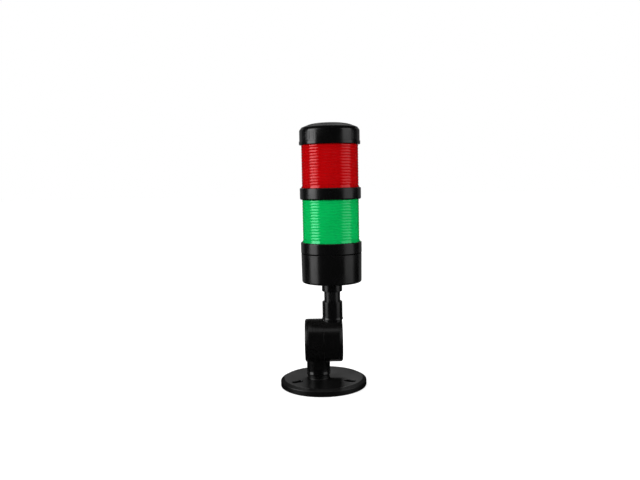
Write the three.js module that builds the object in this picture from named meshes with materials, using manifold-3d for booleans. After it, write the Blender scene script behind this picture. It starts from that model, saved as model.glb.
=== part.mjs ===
// Two-tier signal tower light on a folding base.
// Millimetres, +Z up. The origin is the centre of the round plate's underside, +X runs along the hinge
// of the knuckle, and -Y is the front.
import * as THREE from 'three';
import { mergeVertices } from 'three/addons/utils/BufferGeometryUtils.js';
import Module from 'manifold-3d';

const wasm = await Module();
wasm.setup();

// ---- Driving dimensions --------------------------------------------------------------------------------

// Clearances
const FIT_GAP = 0.3; // radial gap of a piece that slides into another
const SEAT_GAP = 0.1; // gap where one piece sits on another
const HINGE_GAP = 0.4; // between the two half drums

// Round plate
const PLATE_RADIUS = 36;
const PLATE_THICKNESS = 6;
const PLATE_EDGE_HEIGHT = 4.4;
const PLATE_BEVEL_WIDTH = 3;
const BOSS_STEP = 0.9; // the boss is this much inside the stem that stands on it
const BOSS_HEIGHT = 6;
const SLOT_COUNT = 3;
const SLOT_INSET = 11; // from the edge of the plate to the middle of a slot
const SLOT_LENGTH = 10;
const SLOT_WIDTH = 6;
const SLOT_FIRST_ANGLE = 90;

// Cable way
const CABLE_BORE_RADIUS = 4.5;
const CABLE_OFFSET = 1.1; // from the stem axis, away from the hinge

// Plate screws
const PLATE_SCREW_COUNT = 3;
const PLATE_SCREW_RADIUS = 1.5;
const PLATE_SCREW_HEAD_RADIUS = 2.8;
const PLATE_SCREW_HEAD_HEIGHT = 2;
const PLATE_SCREW_LENGTH = 16;
const PLATE_SCREW_INSET = 2.8; // from the outside of the stem to the screw axis
const PLATE_SCREW_SINK = 0.5;

// Folding knuckle
const HINGE_PLANE_X = 0.75;
const DRUM_RADIUS = 18;
const DRUM_LENGTH = 13;
const DRUM_WALL = 2.4;
const DRUM_FACE = 3;
const DRUM_EDGE_ROUND = 0.7;
const COVER_THICKNESS = 2.4;
const COVER_ROUND = 2;
const COVER_BOSS_WALL = 1.5;
const COVER_SPIGOT_DEPTH = 2;
const COVER_SPIGOT_WALL = 1.6;
const STEM_RADIUS = 10.1;
const STEM_AXIS_X = -4.1;
const STEM_RISE = 7.7; // from the boss to the underside of the drum
const STEM_RIM_ROUND = 0.6;
const WINDOW_INNER_LAND = 1.1; // left between the friction washer and the window
const WINDOW_OUTER_LAND = 1.15; // left between the window and the knuckle seal
const WINDOW_SWEEP = 120;

// Pivot stack
const PIVOT_RADIUS = 2.5;
const PIVOT_HEAD_RADIUS = 4.3;
const PIVOT_HEAD_HEIGHT = 2.6;
const PIVOT_HEAD_PROUD = 0.4;
const PIVOT_SOCKET_ACROSS = 3;
const PIVOT_SOCKET_DEPTH = 1.4;
const WASHER_RADIUS = 4.9;
const WASHER_THICKNESS = 1;
const SPRING_WASHER_THICKNESS = 1.2;
const NUT_ACROSS_FLATS = 8;
const NUT_THICKNESS = 3.6;
const NUT_POCKET_ROOM = 0.4;
const FRICTION_WASHER_RADIUS = 7;
const FRICTION_WASHER_SINK = 0.6;
const KNUCKLE_SEAL_INSET = 2.4;
const KNUCKLE_SEAL_WIDTH = 1.5;
const KNUCKLE_SEAL_SINK = 0.8;

// Pole and its sleeve
const SLEEVE_OFFSET = 0.3; // the sleeve is this much nearer the hinge than the middle of its half
const SLEEVE_WALL = 1.45;
const SLEEVE_RISE = 15; // above the drum
const SLEEVE_CHAMFER = 0.7;
const POLE_RADIUS = 6.8;
const POLE_WALL = 1.5;
const POLE_INSERTION = 13;
const POLE_EXPOSED = 8.5;
const POLE_INSIDE_HOUSING = 9;
const POLE_CLEARANCE = 0.15;
const SET_SCREW_RADIUS = 1.9;
const SET_SCREW_LENGTH = 3;
const SET_SCREW_ABOVE_SEAT = 6.5;
const SET_SCREW_PAD_WALL = 1.5;
const POLE_WASHER_WIDTH = 3.6;
const POLE_WASHER_THICKNESS = 1.2;
const POLE_NUT_WALL = 2.2;
const POLE_NUT_THICKNESS = 4.5;

// Housing under the lamps
const SOCKET_WALL = 1.55;
const SOCKET_HEIGHT = 7.8;
const HOUSING_STEP = 1.65; // outside the lenses
const HOUSING_DRAFT = 0.3;
const HOUSING_HEIGHT = 24;
const HOUSING_EDGE_ROUND = 1.6;
const HOUSING_WALL = 2.2;
const HOUSING_FLOOR = 2.6;
const DECK_PLUG_DEPTH = 5;
const DECK_LEDGE = 1;
const DECK_FLOOR = 1.4;

// Bayonet between the stacked units
const NECK_STEP = 2.05; // inside the lenses
const NECK_TIP = 0.2; // above the lugs
const NECK_WALL = 1.6;
const LUG_COUNT = 3;
const LUG_REACH = 1.1;
const LUG_HEIGHT = 1.8;
const LUG_SWEEP = 16;
const LUG_FIRST_ANGLE = 30;
const TWIST_ANGLE = 20;
const STOP_GAP_ANGLE = 1;
const STOP_SWEEP = 4;
const NOTCH_MARGIN_ANGLE = 0.8;
const SEAL_SEAT_HEIGHT = 1.3;
const FLANGE_THICKNESS = 1.6;

// Lamp modules
const COLLAR_STEP = 1.8; // outside the lenses
const COLLAR_HEIGHT = 9.5;
const COLLAR_TOP_ROUND = 0.8;
const COLLAR_BOTTOM_ROUND = 1.1;
const WEB_THICKNESS = 1.4;
const WEB_LIP = 0.8;
const LENS_RADIUS = 23.35;
const LENS_HEIGHT = 34.8;
const LENS_WALL = 1.7;
const LENS_RIB_COUNT = 15;
const LENS_RIB_DEPTH = 0.35;
const LENS_SPIGOT_STEP = 0.75;
const CONTACT_BASE_THICKNESS = 1.6;
const HOLDER_WALL = 1.25;
const HOLDER_CHEEK = 2.2;
const HOLDER_HEIGHT = 5;
const BOARD_THICKNESS = 1.6;
const LED_BOARD_WIDTH = 15.5;
const LED_BOARD_EDGE = 0.6; // above the upper LED
const LED_BOARD_SUNK = 4;
const LED_WIDTH = 5;
const LED_DEPTH = 1.6;
const LED_GAP = 2;
const LED_ABOVE_HOLDER = 4;
const PIN_RADIUS = 0.8;
const PIN_CIRCLES = [8, 11, 14];
const PIN_ANGLES = [100, 220, 340];
const BUS_BAR_WIDTH = 3;
const BUS_BAR_THICKNESS = 0.8;
const BUS_BAR_INSET = 3.4; // from the edge of the top board
const BOARD_LIP = 1;
const BOARD_LIP_REACH = 1.6;

// Top cap
const CAP_STEP = 1.35; // outside the lenses
const CAP_LIP_OUT = 0.4;
const CAP_LIP_HEIGHT = 2.8;
const CAP_SIDE_HEIGHT = 11.5;
const CAP_SHOULDER_IN = 1.7;
const CAP_SHOULDER_RISE = 2.4;
const CAP_RAMP_IN = 5.8;
const CAP_RAMP_RISE = 2.3;
const CAP_GROOVE_WIDTH = 1.4;
const CAP_DISC_RISE = 1.2;
const CAP_TOP_WALL = 2.2;
const CAP_WALL = 2.7;

// Terminal block in the housing
const TERMINAL_LENGTH = 16;
const TERMINAL_WIDTH = 8;
const TERMINAL_HEIGHT = 7;
const TERMINAL_WAY = 3;

// Facets
const ROUND_SIDES = 28;
const LENS_SIDES = 24;
const MEDIUM_SIDES = 18;
const SMALL_SIDES = 10;
const PIN_SIDES = 8;

// ---- Derived places ------------------------------------------------------------------------------------

const BOSS_TOP = PLATE_THICKNESS + BOSS_HEIGHT;
const BOSS_RADIUS = STEM_RADIUS - BOSS_STEP;
const CABLE_AXIS_X = STEM_AXIS_X - CABLE_OFFSET;
const PLATE_SCREW_CIRCLE = STEM_RADIUS - PLATE_SCREW_INSET;

const STEM_BOTTOM = BOSS_TOP + SEAT_GAP;
const HINGE_HEIGHT = BOSS_TOP + STEM_RISE + DRUM_RADIUS;
const DRUM_INNER_RADIUS = DRUM_RADIUS - DRUM_WALL;
const COVER_START = DRUM_LENGTH + SEAT_GAP;
const COVER_END = COVER_START + COVER_THICKNESS;
const KNUCKLE_SEAL_RADIUS = DRUM_RADIUS - KNUCKLE_SEAL_INSET;
const KNUCKLE_SEAL_INNER = KNUCKLE_SEAL_RADIUS - KNUCKLE_SEAL_WIDTH / 2;
const KNUCKLE_SEAL_OUTER = KNUCKLE_SEAL_RADIUS + KNUCKLE_SEAL_WIDTH / 2;
const WINDOW_INNER_RADIUS = FRICTION_WASHER_RADIUS + FIT_GAP + WINDOW_INNER_LAND;
const WINDOW_OUTER_RADIUS = KNUCKLE_SEAL_INNER - FIT_GAP - WINDOW_OUTER_LAND;
const NUT_POCKET_RADIUS = Math.max(WASHER_RADIUS, NUT_ACROSS_FLATS / Math.sqrt(3)) + NUT_POCKET_ROOM;
const COVER_BOSS_RADIUS = NUT_POCKET_RADIUS + COVER_BOSS_WALL;

const LAMP_AXIS_X = HINGE_PLANE_X + HINGE_GAP / 2 + COVER_END / 2 - SLEEVE_OFFSET;
const SLEEVE_RADIUS = POLE_RADIUS + POLE_CLEARANCE + SLEEVE_WALL;
const SLEEVE_HEIGHT = DRUM_RADIUS + SLEEVE_RISE;
const SLEEVE_TOP = HINGE_HEIGHT + SLEEVE_HEIGHT;
const POLE_SEAT = SLEEVE_TOP - POLE_INSERTION;
const POLE_BOTTOM = POLE_SEAT + SEAT_GAP;
const POLE_INNER_RADIUS = POLE_RADIUS - POLE_WALL;
const SET_SCREW_PAD_RADIUS = SET_SCREW_RADIUS + SET_SCREW_PAD_WALL;
const POLE_WASHER_RADIUS = POLE_RADIUS + POLE_WASHER_WIDTH;
const POLE_NUT_ACROSS_FLATS = 2 * (POLE_RADIUS + POLE_NUT_WALL);

const SOCKET_RADIUS = POLE_RADIUS + POLE_CLEARANCE + SOCKET_WALL;
const SOCKET_BOTTOM = SLEEVE_TOP + POLE_EXPOSED;
const HOUSING_TOP_RADIUS = LENS_RADIUS + HOUSING_STEP;
const HOUSING_BOTTOM_RADIUS = HOUSING_TOP_RADIUS - HOUSING_DRAFT;
const HOUSING_INNER_RADIUS = HOUSING_BOTTOM_RADIUS - HOUSING_WALL;
const HOUSING_BOTTOM = SOCKET_BOTTOM + SOCKET_HEIGHT;
const FLOOR_TOP = HOUSING_BOTTOM + HOUSING_FLOOR;
const HOUSING_TOP = HOUSING_BOTTOM + HOUSING_HEIGHT;
const DECK_SEAT = HOUSING_TOP - DECK_PLUG_DEPTH;
const POLE_TOP = FLOOR_TOP + POLE_INSIDE_HOUSING;

const UNIT_GAP = SEAT_GAP; // between one stacked unit and the next
const NECK_RADIUS = LENS_RADIUS - NECK_STEP;
const NECK_INNER_RADIUS = NECK_RADIUS - NECK_WALL;
const LUG_RADIUS = NECK_RADIUS + LUG_REACH;
const SOCKET_ROOM_RADIUS = LUG_RADIUS + FIT_GAP;
const FLANGE_TOP = SEAL_SEAT_HEIGHT + FLANGE_THICKNESS;
const LUG_BOTTOM = FLANGE_TOP + FIT_GAP;
const LUG_TOP = LUG_BOTTOM + LUG_HEIGHT;
const NECK_HEIGHT = LUG_TOP + NECK_TIP;
const SOCKET_DEPTH = NECK_HEIGHT - UNIT_GAP + FIT_GAP;
const BOARD_RADIUS = NECK_INNER_RADIUS - FIT_GAP;
const TOP_BOARD_HEIGHT = NECK_HEIGHT - BOARD_LIP - SEAT_GAP - BOARD_THICKNESS;

const COLLAR_RADIUS = LENS_RADIUS + COLLAR_STEP;
const WEB_TOP = SOCKET_DEPTH + WEB_THICKNESS;
const WEB_HOLE_RADIUS = NECK_INNER_RADIUS - WEB_LIP;
const LENS_SPIGOT_RADIUS = LENS_RADIUS - LENS_SPIGOT_STEP;
const LENS_INNER_RADIUS = LENS_RADIUS - LENS_WALL;
const LENS_BASE = COLLAR_HEIGHT + SEAT_GAP;
const LENS_TOP = LENS_BASE + LENS_HEIGHT;
const BASE_BOTTOM = SOCKET_DEPTH + SEAT_GAP;
const BASE_FLANGE = WEB_TOP + SEAT_GAP;
const BASE_TOP = BASE_FLANGE + CONTACT_BASE_THICKNESS;
const HOLDER_TOP = BASE_TOP + HOLDER_HEIGHT;
const HOLDER_WIDTH = LED_BOARD_WIDTH + 2 * HOLDER_WALL;
const HOLDER_DEPTH = BOARD_THICKNESS + 2 * HOLDER_CHEEK;
const LED_BOARD_BOTTOM = HOLDER_TOP - LED_BOARD_SUNK + SEAT_GAP;
const LED_SPACING = LED_WIDTH + LED_GAP;
const LED_FIRST_HEIGHT = HOLDER_TOP + LED_ABOVE_HOLDER;
const LED_BOARD_TOP = LED_FIRST_HEIGHT + LED_SPACING + LED_WIDTH / 2 + LED_BOARD_EDGE;
const BUS_BAR_X = BOARD_RADIUS - BUS_BAR_INSET;

const CAP_RADIUS = LENS_RADIUS + CAP_STEP;
const CAP_LIP_RADIUS = CAP_RADIUS + CAP_LIP_OUT;
const CAP_SHOULDER_RADIUS = CAP_RADIUS - CAP_SHOULDER_IN;
const CAP_SHOULDER_HEIGHT = CAP_SIDE_HEIGHT + CAP_SHOULDER_RISE;
const CAP_RAMP_RADIUS = CAP_SHOULDER_RADIUS - CAP_RAMP_IN;
const CAP_RAMP_HEIGHT = CAP_SHOULDER_HEIGHT + CAP_RAMP_RISE;
const CAP_DISC_RADIUS = CAP_RAMP_RADIUS - CAP_GROOVE_WIDTH;
const CAP_HEIGHT = CAP_RAMP_HEIGHT + CAP_DISC_RISE;
const CAP_INNER_RADIUS = CAP_RADIUS - CAP_WALL;

const GREEN_BASE = HOUSING_TOP + UNIT_GAP;
const MODULE_PITCH = LENS_TOP + UNIT_GAP;
const RED_BASE = GREEN_BASE + MODULE_PITCH;
const CAP_BASE = RED_BASE + MODULE_PITCH;

// ---- Materials -----------------------------------------------------------------------------------------

const finish = (color, roughness, metalness) =>
  new THREE.MeshStandardMaterial({ color, roughness, metalness });
const blackPlastic = finish(0x101011, 0.38, 0);
const blackPlate = finish(0x151516, 0.3, 0);
const innerPlastic = finish(0x1c1c1d, 0.6, 0);
const blackPole = finish(0x121213, 0.35, 0.6);
const redLens = finish(0xb4060c, 0.15, 0);
const greenLens = finish(0x08a84e, 0.15, 0);
const rubber = finish(0x0c0c0c, 0.8, 0);
const zincSteel = finish(0xb8bcc0, 0.35, 1);
const blackSteel = finish(0x191a1b, 0.45, 1);
const brass = finish(0xc8a24a, 0.3, 1);
const acetal = finish(0xe6e4dc, 0.5, 0);
const circuitBoard = finish(0xe8e8e2, 0.5, 0);
const ledResin = finish(0xf2f0d8, 0.25, 0);
const terminalPlastic = finish(0x1f6f3c, 0.5, 0);

// ---- Shape helpers -------------------------------------------------------------------------------------

const radians = THREE.MathUtils.degToRad;
const aboutZ = (angle, radius) =>
  new THREE.Vector2(Math.cos(radians(angle)) * radius, Math.sin(radians(angle)) * radius);

// The volume of a closed triangle mesh, negative when its faces point inwards.
function signedVolume(positions, triangles) {
  const corner = (index) => new THREE.Vector3().fromArray(positions, index * 3);
  let total = 0;
  for (let i = 0; i < triangles.length; i += 3) {
    const a = corner(triangles[i]);
    const b = corner(triangles[i + 1]);
    const c = corner(triangles[i + 2]);
    total += a.dot(b.cross(c)) / 6;
  }
  return total;
}

// A solid for joining and cutting, from any closed three.js geometry.
function solidFrom(geometry) {
  geometry.deleteAttribute('normal');
  geometry.deleteAttribute('uv');
  const welded = mergeVertices(geometry, 1e-4);
  const positions = Float32Array.from(welded.getAttribute('position').array);
  const index = welded.getIndex().array;
  const triangles = [];
  for (let i = 0; i < index.length; i += 3) {
    const [a, b, c] = [index[i], index[i + 1], index[i + 2]];
    if (a !== b && b !== c && c !== a) triangles.push(a, b, c);
  }
  if (signedVolume(positions, triangles) < 0) triangles.reverse();
  const triVerts = Uint32Array.from(triangles);
  return new wasm.Manifold(new wasm.Mesh({ numProp: 3, vertProperties: positions, triVerts }));
}

// A shape turned about +Z from [radius, height] corners. A profile that leaves the axis closes on itself.
function turned(profile, sides = ROUND_SIDES, place = (geometry) => geometry) {
  const corners = profile.map(([radius, height]) => new THREE.Vector2(radius, height));
  const touchesAxis = corners[0].x === 0 && corners.at(-1).x === 0;
  if (!touchesAxis) corners.push(corners[0].clone());
  const geometry = new THREE.LatheGeometry(corners, sides);
  geometry.rotateX(Math.PI / 2);
  return solidFrom(place(geometry));
}

const rod = (radius, bottom, top, sides, place) =>
  turned([[0, bottom], [radius, bottom], [radius, top], [0, top]], sides, place);
const ring = (inner, outer, bottom, top, sides, place) =>
  turned([[inner, bottom], [outer, bottom], [outer, top], [inner, top]], sides, place);

// Places a shape made about +Z: shifted sideways, or laid along +X at the hinge.
const shifted = (x, y = 0, z = 0) => (geometry) => geometry.translate(x, y, z);
const laidAlongX = (geometry) => geometry.rotateY(Math.PI / 2);

function block(x0, x1, y0, y1, z0, z1) {
  const geometry = new THREE.BoxGeometry(x1 - x0, y1 - y0, z1 - z0);
  return solidFrom(geometry.translate((x0 + x1) / 2, (y0 + y1) / 2, (z0 + z1) / 2));
}

// An outline pulled up from bottom to top.
function pulled(outline, bottom, top, curveSegments = 4, place = (geometry) => geometry) {
  const options = { depth: top - bottom, bevelEnabled: false, curveSegments };
  const geometry = new THREE.ExtrudeGeometry(outline, options);
  geometry.translate(0, 0, bottom);
  return solidFrom(place(geometry));
}

// A curved bar: part of a ring between two angles in degrees.
function sector(inner, outer, from, to, bottom, top, place) {
  const outline = new THREE.Shape();
  outline.absarc(0, 0, outer, radians(from), radians(to), false);
  outline.absarc(0, 0, inner, radians(to), radians(from), true);
  outline.closePath();
  const curveSegments = Math.max(2, Math.round((to - from) / 10));
  return pulled(outline, bottom, top, curveSegments, place);
}

// A round-ended outline, length measured end to end along X.
function slotOutline(length, width) {
  const reach = (length - width) / 2;
  const outline = new THREE.Shape();
  outline.absarc(reach, 0, width / 2, -Math.PI / 2, Math.PI / 2, false);
  outline.absarc(-reach, 0, width / 2, Math.PI / 2, (3 * Math.PI) / 2, false);
  outline.closePath();
  return outline;
}

function hexagonOutline(acrossFlats) {
  const outline = new THREE.Shape();
  const corner = acrossFlats / Math.sqrt(3);
  for (let i = 0; i < 6; i += 1) {
    const point = aboutZ(i * 60, corner);
    if (i === 0) outline.moveTo(point.x, point.y);
    else outline.lineTo(point.x, point.y);
  }
  outline.closePath();
  return outline;
}

const joined = (bodies) => bodies.reduce((whole, next) => whole.add(next));
const cut = (body, ...tools) => tools.reduce((rest, tool) => rest.subtract(tool), body);

// A quarter-round edge as profile corners, from the start angle to the end angle in degrees.
function roundedEdge(centreRadius, centreHeight, round, from, to, steps = 3) {
  return Array.from({ length: steps + 1 }, (_, i) => {
    const angle = radians(from + ((to - from) * i) / steps);
    return [centreRadius + round * Math.cos(angle), centreHeight + round * Math.sin(angle)];
  });
}

function piece(name, material, body) {
  const result = body.getMesh();
  const geometry = new THREE.BufferGeometry();
  geometry.setAttribute('position', new THREE.BufferAttribute(Float32Array.from(result.vertProperties), 3));
  geometry.setIndex(new THREE.BufferAttribute(Uint32Array.from(result.triVerts), 1));
  geometry.computeVertexNormals();
  const mesh = new THREE.Mesh(geometry, material);
  mesh.name = name;
  return mesh;
}

function groupAt(x, y, z, ...children) {
  const group = new THREE.Group();
  group.position.set(x, y, z);
  group.add(...children);
  return group;
}

// ---- Plate ---------------------------------------------------------------------------------------------

const plateScrewPlaces = Array.from({ length: PLATE_SCREW_COUNT }, (_, i) => {
  const point = aboutZ((360 / PLATE_SCREW_COUNT) * i, PLATE_SCREW_CIRCLE);
  return [STEM_AXIS_X + point.x, point.y];
});
const PLATE_SCREW_SEAT = PLATE_SCREW_SINK + PLATE_SCREW_HEAD_HEIGHT + SEAT_GAP;
const PLATE_SCREW_TOP = PLATE_SCREW_SINK + PLATE_SCREW_HEAD_HEIGHT + PLATE_SCREW_LENGTH;

const cableBore = (bottom, top) => rod(CABLE_BORE_RADIUS, bottom, top, MEDIUM_SIDES, shifted(CABLE_AXIS_X));
const plateScrewHole = ([x, y], bottom, top) =>
  rod(PLATE_SCREW_RADIUS + FIT_GAP / 2, bottom, top, SMALL_SIDES, shifted(x, y));

function basePlate() {
  const disc = turned([
    [0, 0],
    [PLATE_RADIUS, 0],
    [PLATE_RADIUS, PLATE_EDGE_HEIGHT],
    [PLATE_RADIUS - PLATE_BEVEL_WIDTH / 2, PLATE_THICKNESS - (PLATE_THICKNESS - PLATE_EDGE_HEIGHT) / 4],
    [PLATE_RADIUS - PLATE_BEVEL_WIDTH, PLATE_THICKNESS],
    [0, PLATE_THICKNESS],
  ]);
  const boss = rod(BOSS_RADIUS, PLATE_THICKNESS / 2, BOSS_TOP, ROUND_SIDES, shifted(STEM_AXIS_X));
  const slots = Array.from({ length: SLOT_COUNT }, (_, i) => {
    const angle = SLOT_FIRST_ANGLE + (360 / SLOT_COUNT) * i;
    const turn = (geometry) => geometry.translate(PLATE_RADIUS - SLOT_INSET, 0, 0).rotateZ(radians(angle));
    return pulled(slotOutline(SLOT_LENGTH, SLOT_WIDTH), -1, PLATE_THICKNESS + 1, 6, turn);
  });
  const screwHoles = plateScrewPlaces.flatMap((place) => [
    plateScrewHole(place, -1, BOSS_TOP + 1),
    rod(PLATE_SCREW_HEAD_RADIUS + FIT_GAP, -1, PLATE_SCREW_SEAT, SMALL_SIDES, shifted(...place)),
  ]);
  return cut(disc.add(boss), cableBore(-1, BOSS_TOP + 1), ...slots, ...screwHoles);
}

function plateScrew() {
  const head = rod(PLATE_SCREW_HEAD_RADIUS, 0, PLATE_SCREW_HEAD_HEIGHT, SMALL_SIDES);
  const tip = PLATE_SCREW_HEAD_HEIGHT + PLATE_SCREW_LENGTH;
  const shank = rod(PLATE_SCREW_RADIUS, PLATE_SCREW_HEAD_HEIGHT / 2, tip, SMALL_SIDES);
  const driveSlots = [0, 90].map((angle) => {
    const half = PLATE_SCREW_HEAD_RADIUS * 0.6;
    const slot = new THREE.BoxGeometry(half * 2, 0.8, PLATE_SCREW_HEAD_HEIGHT);
    return solidFrom(slot.rotateZ(radians(angle)));
  });
  return cut(head.add(shank), ...driveSlots);
}

// ---- Knuckle -------------------------------------------------------------------------------------------
// Each half drum and its cover are made about the hinge axis in their own frame, where +X runs outwards
// from the hinge face.

const PIVOT_BORE_RADIUS = PIVOT_RADIUS + FIT_GAP;

function halfDrum(spoke, bore) {
  const shell = turned([
    [0, 0],
    ...roundedEdge(DRUM_RADIUS - DRUM_EDGE_ROUND, DRUM_EDGE_ROUND, DRUM_EDGE_ROUND, -90, 0, 2),
    [DRUM_RADIUS, DRUM_LENGTH],
    [0, DRUM_LENGTH],
  ], ROUND_SIDES, laidAlongX);
  const cavity = rod(DRUM_INNER_RADIUS, DRUM_FACE, DRUM_LENGTH + 1, ROUND_SIDES, laidAlongX);
  const pivotBore = rod(PIVOT_BORE_RADIUS, -1, DRUM_FACE + 1, MEDIUM_SIDES, laidAlongX);
  const washerSeatRadius = FRICTION_WASHER_RADIUS + FIT_GAP;
  const washerSeat = rod(washerSeatRadius, -1, FRICTION_WASHER_SINK, MEDIUM_SIDES, laidAlongX);
  const sealSeat = ring(
    KNUCKLE_SEAL_INNER - FIT_GAP,
    KNUCKLE_SEAL_OUTER + FIT_GAP,
    -1,
    KNUCKLE_SEAL_SINK,
    ROUND_SIDES,
    laidAlongX,
  );
  // The cable window opens at the top in both halves, wide enough to stay open at either end of the fold.
  const fromTop = 180;
  const window = sector(
    WINDOW_INNER_RADIUS,
    WINDOW_OUTER_RADIUS,
    fromTop - WINDOW_SWEEP / 2,
    fromTop + WINDOW_SWEEP / 2,
    -1,
    DRUM_FACE + 1,
    laidAlongX,
  );
  return cut(shell.add(spoke), cavity, pivotBore, washerSeat, sealSeat, window, bore);
}

function cover(pocket) {
  const disc = turned([
    [0, COVER_START],
    [DRUM_RADIUS, COVER_START],
    ...roundedEdge(DRUM_RADIUS - COVER_ROUND, COVER_END - COVER_ROUND, COVER_ROUND, 0, 90),
    [0, COVER_END],
  ], ROUND_SIDES, laidAlongX);
  const spigotRadius = DRUM_INNER_RADIUS - FIT_GAP;
  const spigot = ring(
    spigotRadius - COVER_SPIGOT_WALL,
    spigotRadius,
    COVER_START - COVER_SPIGOT_DEPTH,
    COVER_START + COVER_THICKNESS / 2,
    ROUND_SIDES,
    laidAlongX,
  );
  const bossEnd = COVER_START + COVER_THICKNESS / 2;
  const boss = rod(COVER_BOSS_RADIUS, DRUM_FACE + SEAT_GAP, bossEnd, MEDIUM_SIDES, laidAlongX);
  const bore = rod(PIVOT_BORE_RADIUS, 0, COVER_END + 1, MEDIUM_SIDES, laidAlongX);
  return cut(joined([disc, spigot, boss]), bore, pocket);
}

// The stem and the sleeve reach out over the covers, so they are hollowed to let a cover come off sideways.
const roomForCover = () =>
  rod(DRUM_RADIUS + FIT_GAP, DRUM_LENGTH, COVER_END + STEM_RADIUS, ROUND_SIDES, laidAlongX);

// The lower half's own frame points to -X, so its stem axis is mirrored into that frame.
function lowerKnuckle() {
  const face = HINGE_PLANE_X - HINGE_GAP / 2;
  const stemX = face - STEM_AXIS_X;
  const height = HINGE_HEIGHT - STEM_BOTTOM;
  const stemProfile = [
    [0, -height],
    ...roundedEdge(STEM_RADIUS - STEM_RIM_ROUND, STEM_RIM_ROUND - height, STEM_RIM_ROUND, -90, 0, 2),
    [STEM_RADIUS, 0],
    [0, 0],
  ];
  // The stem reaches past the hinge face, so it is hollowed there to clear the other half drum.
  const stem = cut(
    turned(stemProfile, ROUND_SIDES, shifted(stemX)),
    rod(DRUM_RADIUS + HINGE_GAP, -STEM_RADIUS * 2, 0, ROUND_SIDES, laidAlongX),
    roomForCover(),
  );
  const boreX = face - CABLE_AXIS_X;
  const boreTop = -DRUM_INNER_RADIUS + DRUM_WALL;
  const cableWay = rod(CABLE_BORE_RADIUS, -height - 1, boreTop, MEDIUM_SIDES, shifted(boreX));
  const screwHoles = plateScrewPlaces.map(([x, y]) => {
    const top = PLATE_SCREW_TOP + FIT_GAP - HINGE_HEIGHT;
    return rod(PLATE_SCREW_RADIUS + FIT_GAP / 2, -height - 1, top, SMALL_SIDES, shifted(face - x, -y));
  });
  return halfDrum(stem, joined([cableWay, ...screwHoles]));
}

function upperKnuckle() {
  const sleeveX = LAMP_AXIS_X - HINGE_PLANE_X - HINGE_GAP / 2;
  const seat = POLE_SEAT - HINGE_HEIGHT;
  const towardsBack = (geometry) =>
    geometry.rotateX(-Math.PI / 2).translate(sleeveX, 0, seat + SET_SCREW_ABOVE_SEAT);
  const padReach = POLE_RADIUS + SEAT_GAP + SET_SCREW_LENGTH + FIT_GAP;
  const tube = turned([
    [0, 0],
    [SLEEVE_RADIUS, 0],
    [SLEEVE_RADIUS, SLEEVE_HEIGHT - SLEEVE_CHAMFER],
    [SLEEVE_RADIUS - SLEEVE_CHAMFER, SLEEVE_HEIGHT],
    [0, SLEEVE_HEIGHT],
  ], ROUND_SIDES, shifted(sleeveX));
  const sleeve = cut(
    tube.add(rod(SET_SCREW_PAD_RADIUS, 0, padReach, MEDIUM_SIDES, towardsBack)),
    rod(DRUM_RADIUS + HINGE_GAP, -SLEEVE_RADIUS * 2, 0, ROUND_SIDES, laidAlongX),
    roomForCover(),
  );
  const inSleeve = shifted(sleeveX);
  const cableWayBottom = DRUM_INNER_RADIUS - DRUM_WALL / 2;
  const poleBore = rod(POLE_RADIUS + POLE_CLEARANCE, seat, SLEEVE_HEIGHT + 1, MEDIUM_SIDES, inSleeve);
  const cableWay = rod(POLE_INNER_RADIUS, cableWayBottom, seat + 1, MEDIUM_SIDES, inSleeve);
  const screwHole = rod(SET_SCREW_RADIUS + FIT_GAP / 2, 0, padReach + 1, SMALL_SIDES, towardsBack);
  return halfDrum(sleeve, joined([poleBore, cableWay, screwHole]));
}

function screwHeadPocket() {
  const depth = PIVOT_HEAD_HEIGHT - PIVOT_HEAD_PROUD + SEAT_GAP;
  return rod(PIVOT_HEAD_RADIUS + FIT_GAP, COVER_END - depth, COVER_END + 1, MEDIUM_SIDES, laidAlongX);
}

const NUT_STACK = WASHER_THICKNESS + SPRING_WASHER_THICKNESS + NUT_THICKNESS + 3 * SEAT_GAP;
const NUT_POCKET_FLOOR = COVER_END - NUT_STACK - FIT_GAP;
const nutPocket = () => rod(NUT_POCKET_RADIUS, NUT_POCKET_FLOOR, COVER_END + 1, MEDIUM_SIDES, laidAlongX);

// The screw runs from its head in the lower cover, through both half drums, to the nut in the upper cover.
function pivotScrew() {
  const headFace = -(COVER_END + HINGE_GAP / 2) - PIVOT_HEAD_PROUD;
  const headSeat = headFace + PIVOT_HEAD_HEIGHT;
  const tip = COVER_END + HINGE_GAP / 2 - FIT_GAP;
  const body = turned([
    [0, headFace],
    [PIVOT_HEAD_RADIUS * 0.62, headFace],
    [PIVOT_HEAD_RADIUS * 0.9, headFace + PIVOT_HEAD_PROUD],
    [PIVOT_HEAD_RADIUS, headFace + PIVOT_HEAD_HEIGHT / 2],
    [PIVOT_HEAD_RADIUS, headSeat],
    [PIVOT_RADIUS, headSeat],
    [PIVOT_RADIUS, tip],
    [0, tip],
  ], MEDIUM_SIDES, laidAlongX);
  const socketFloor = headFace + PIVOT_SOCKET_DEPTH;
  const socket = pulled(hexagonOutline(PIVOT_SOCKET_ACROSS), headFace - 1, socketFloor, 1, laidAlongX);
  return body.subtract(socket);
}

const stackStart = HINGE_GAP / 2 + NUT_POCKET_FLOOR + SEAT_GAP;
const ringAlongX = (outer, start, end) =>
  ring(PIVOT_BORE_RADIUS, outer, start, end, MEDIUM_SIDES, laidAlongX);
const pivotWasher = () => ringAlongX(WASHER_RADIUS, stackStart, stackStart + WASHER_THICKNESS);

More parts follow.
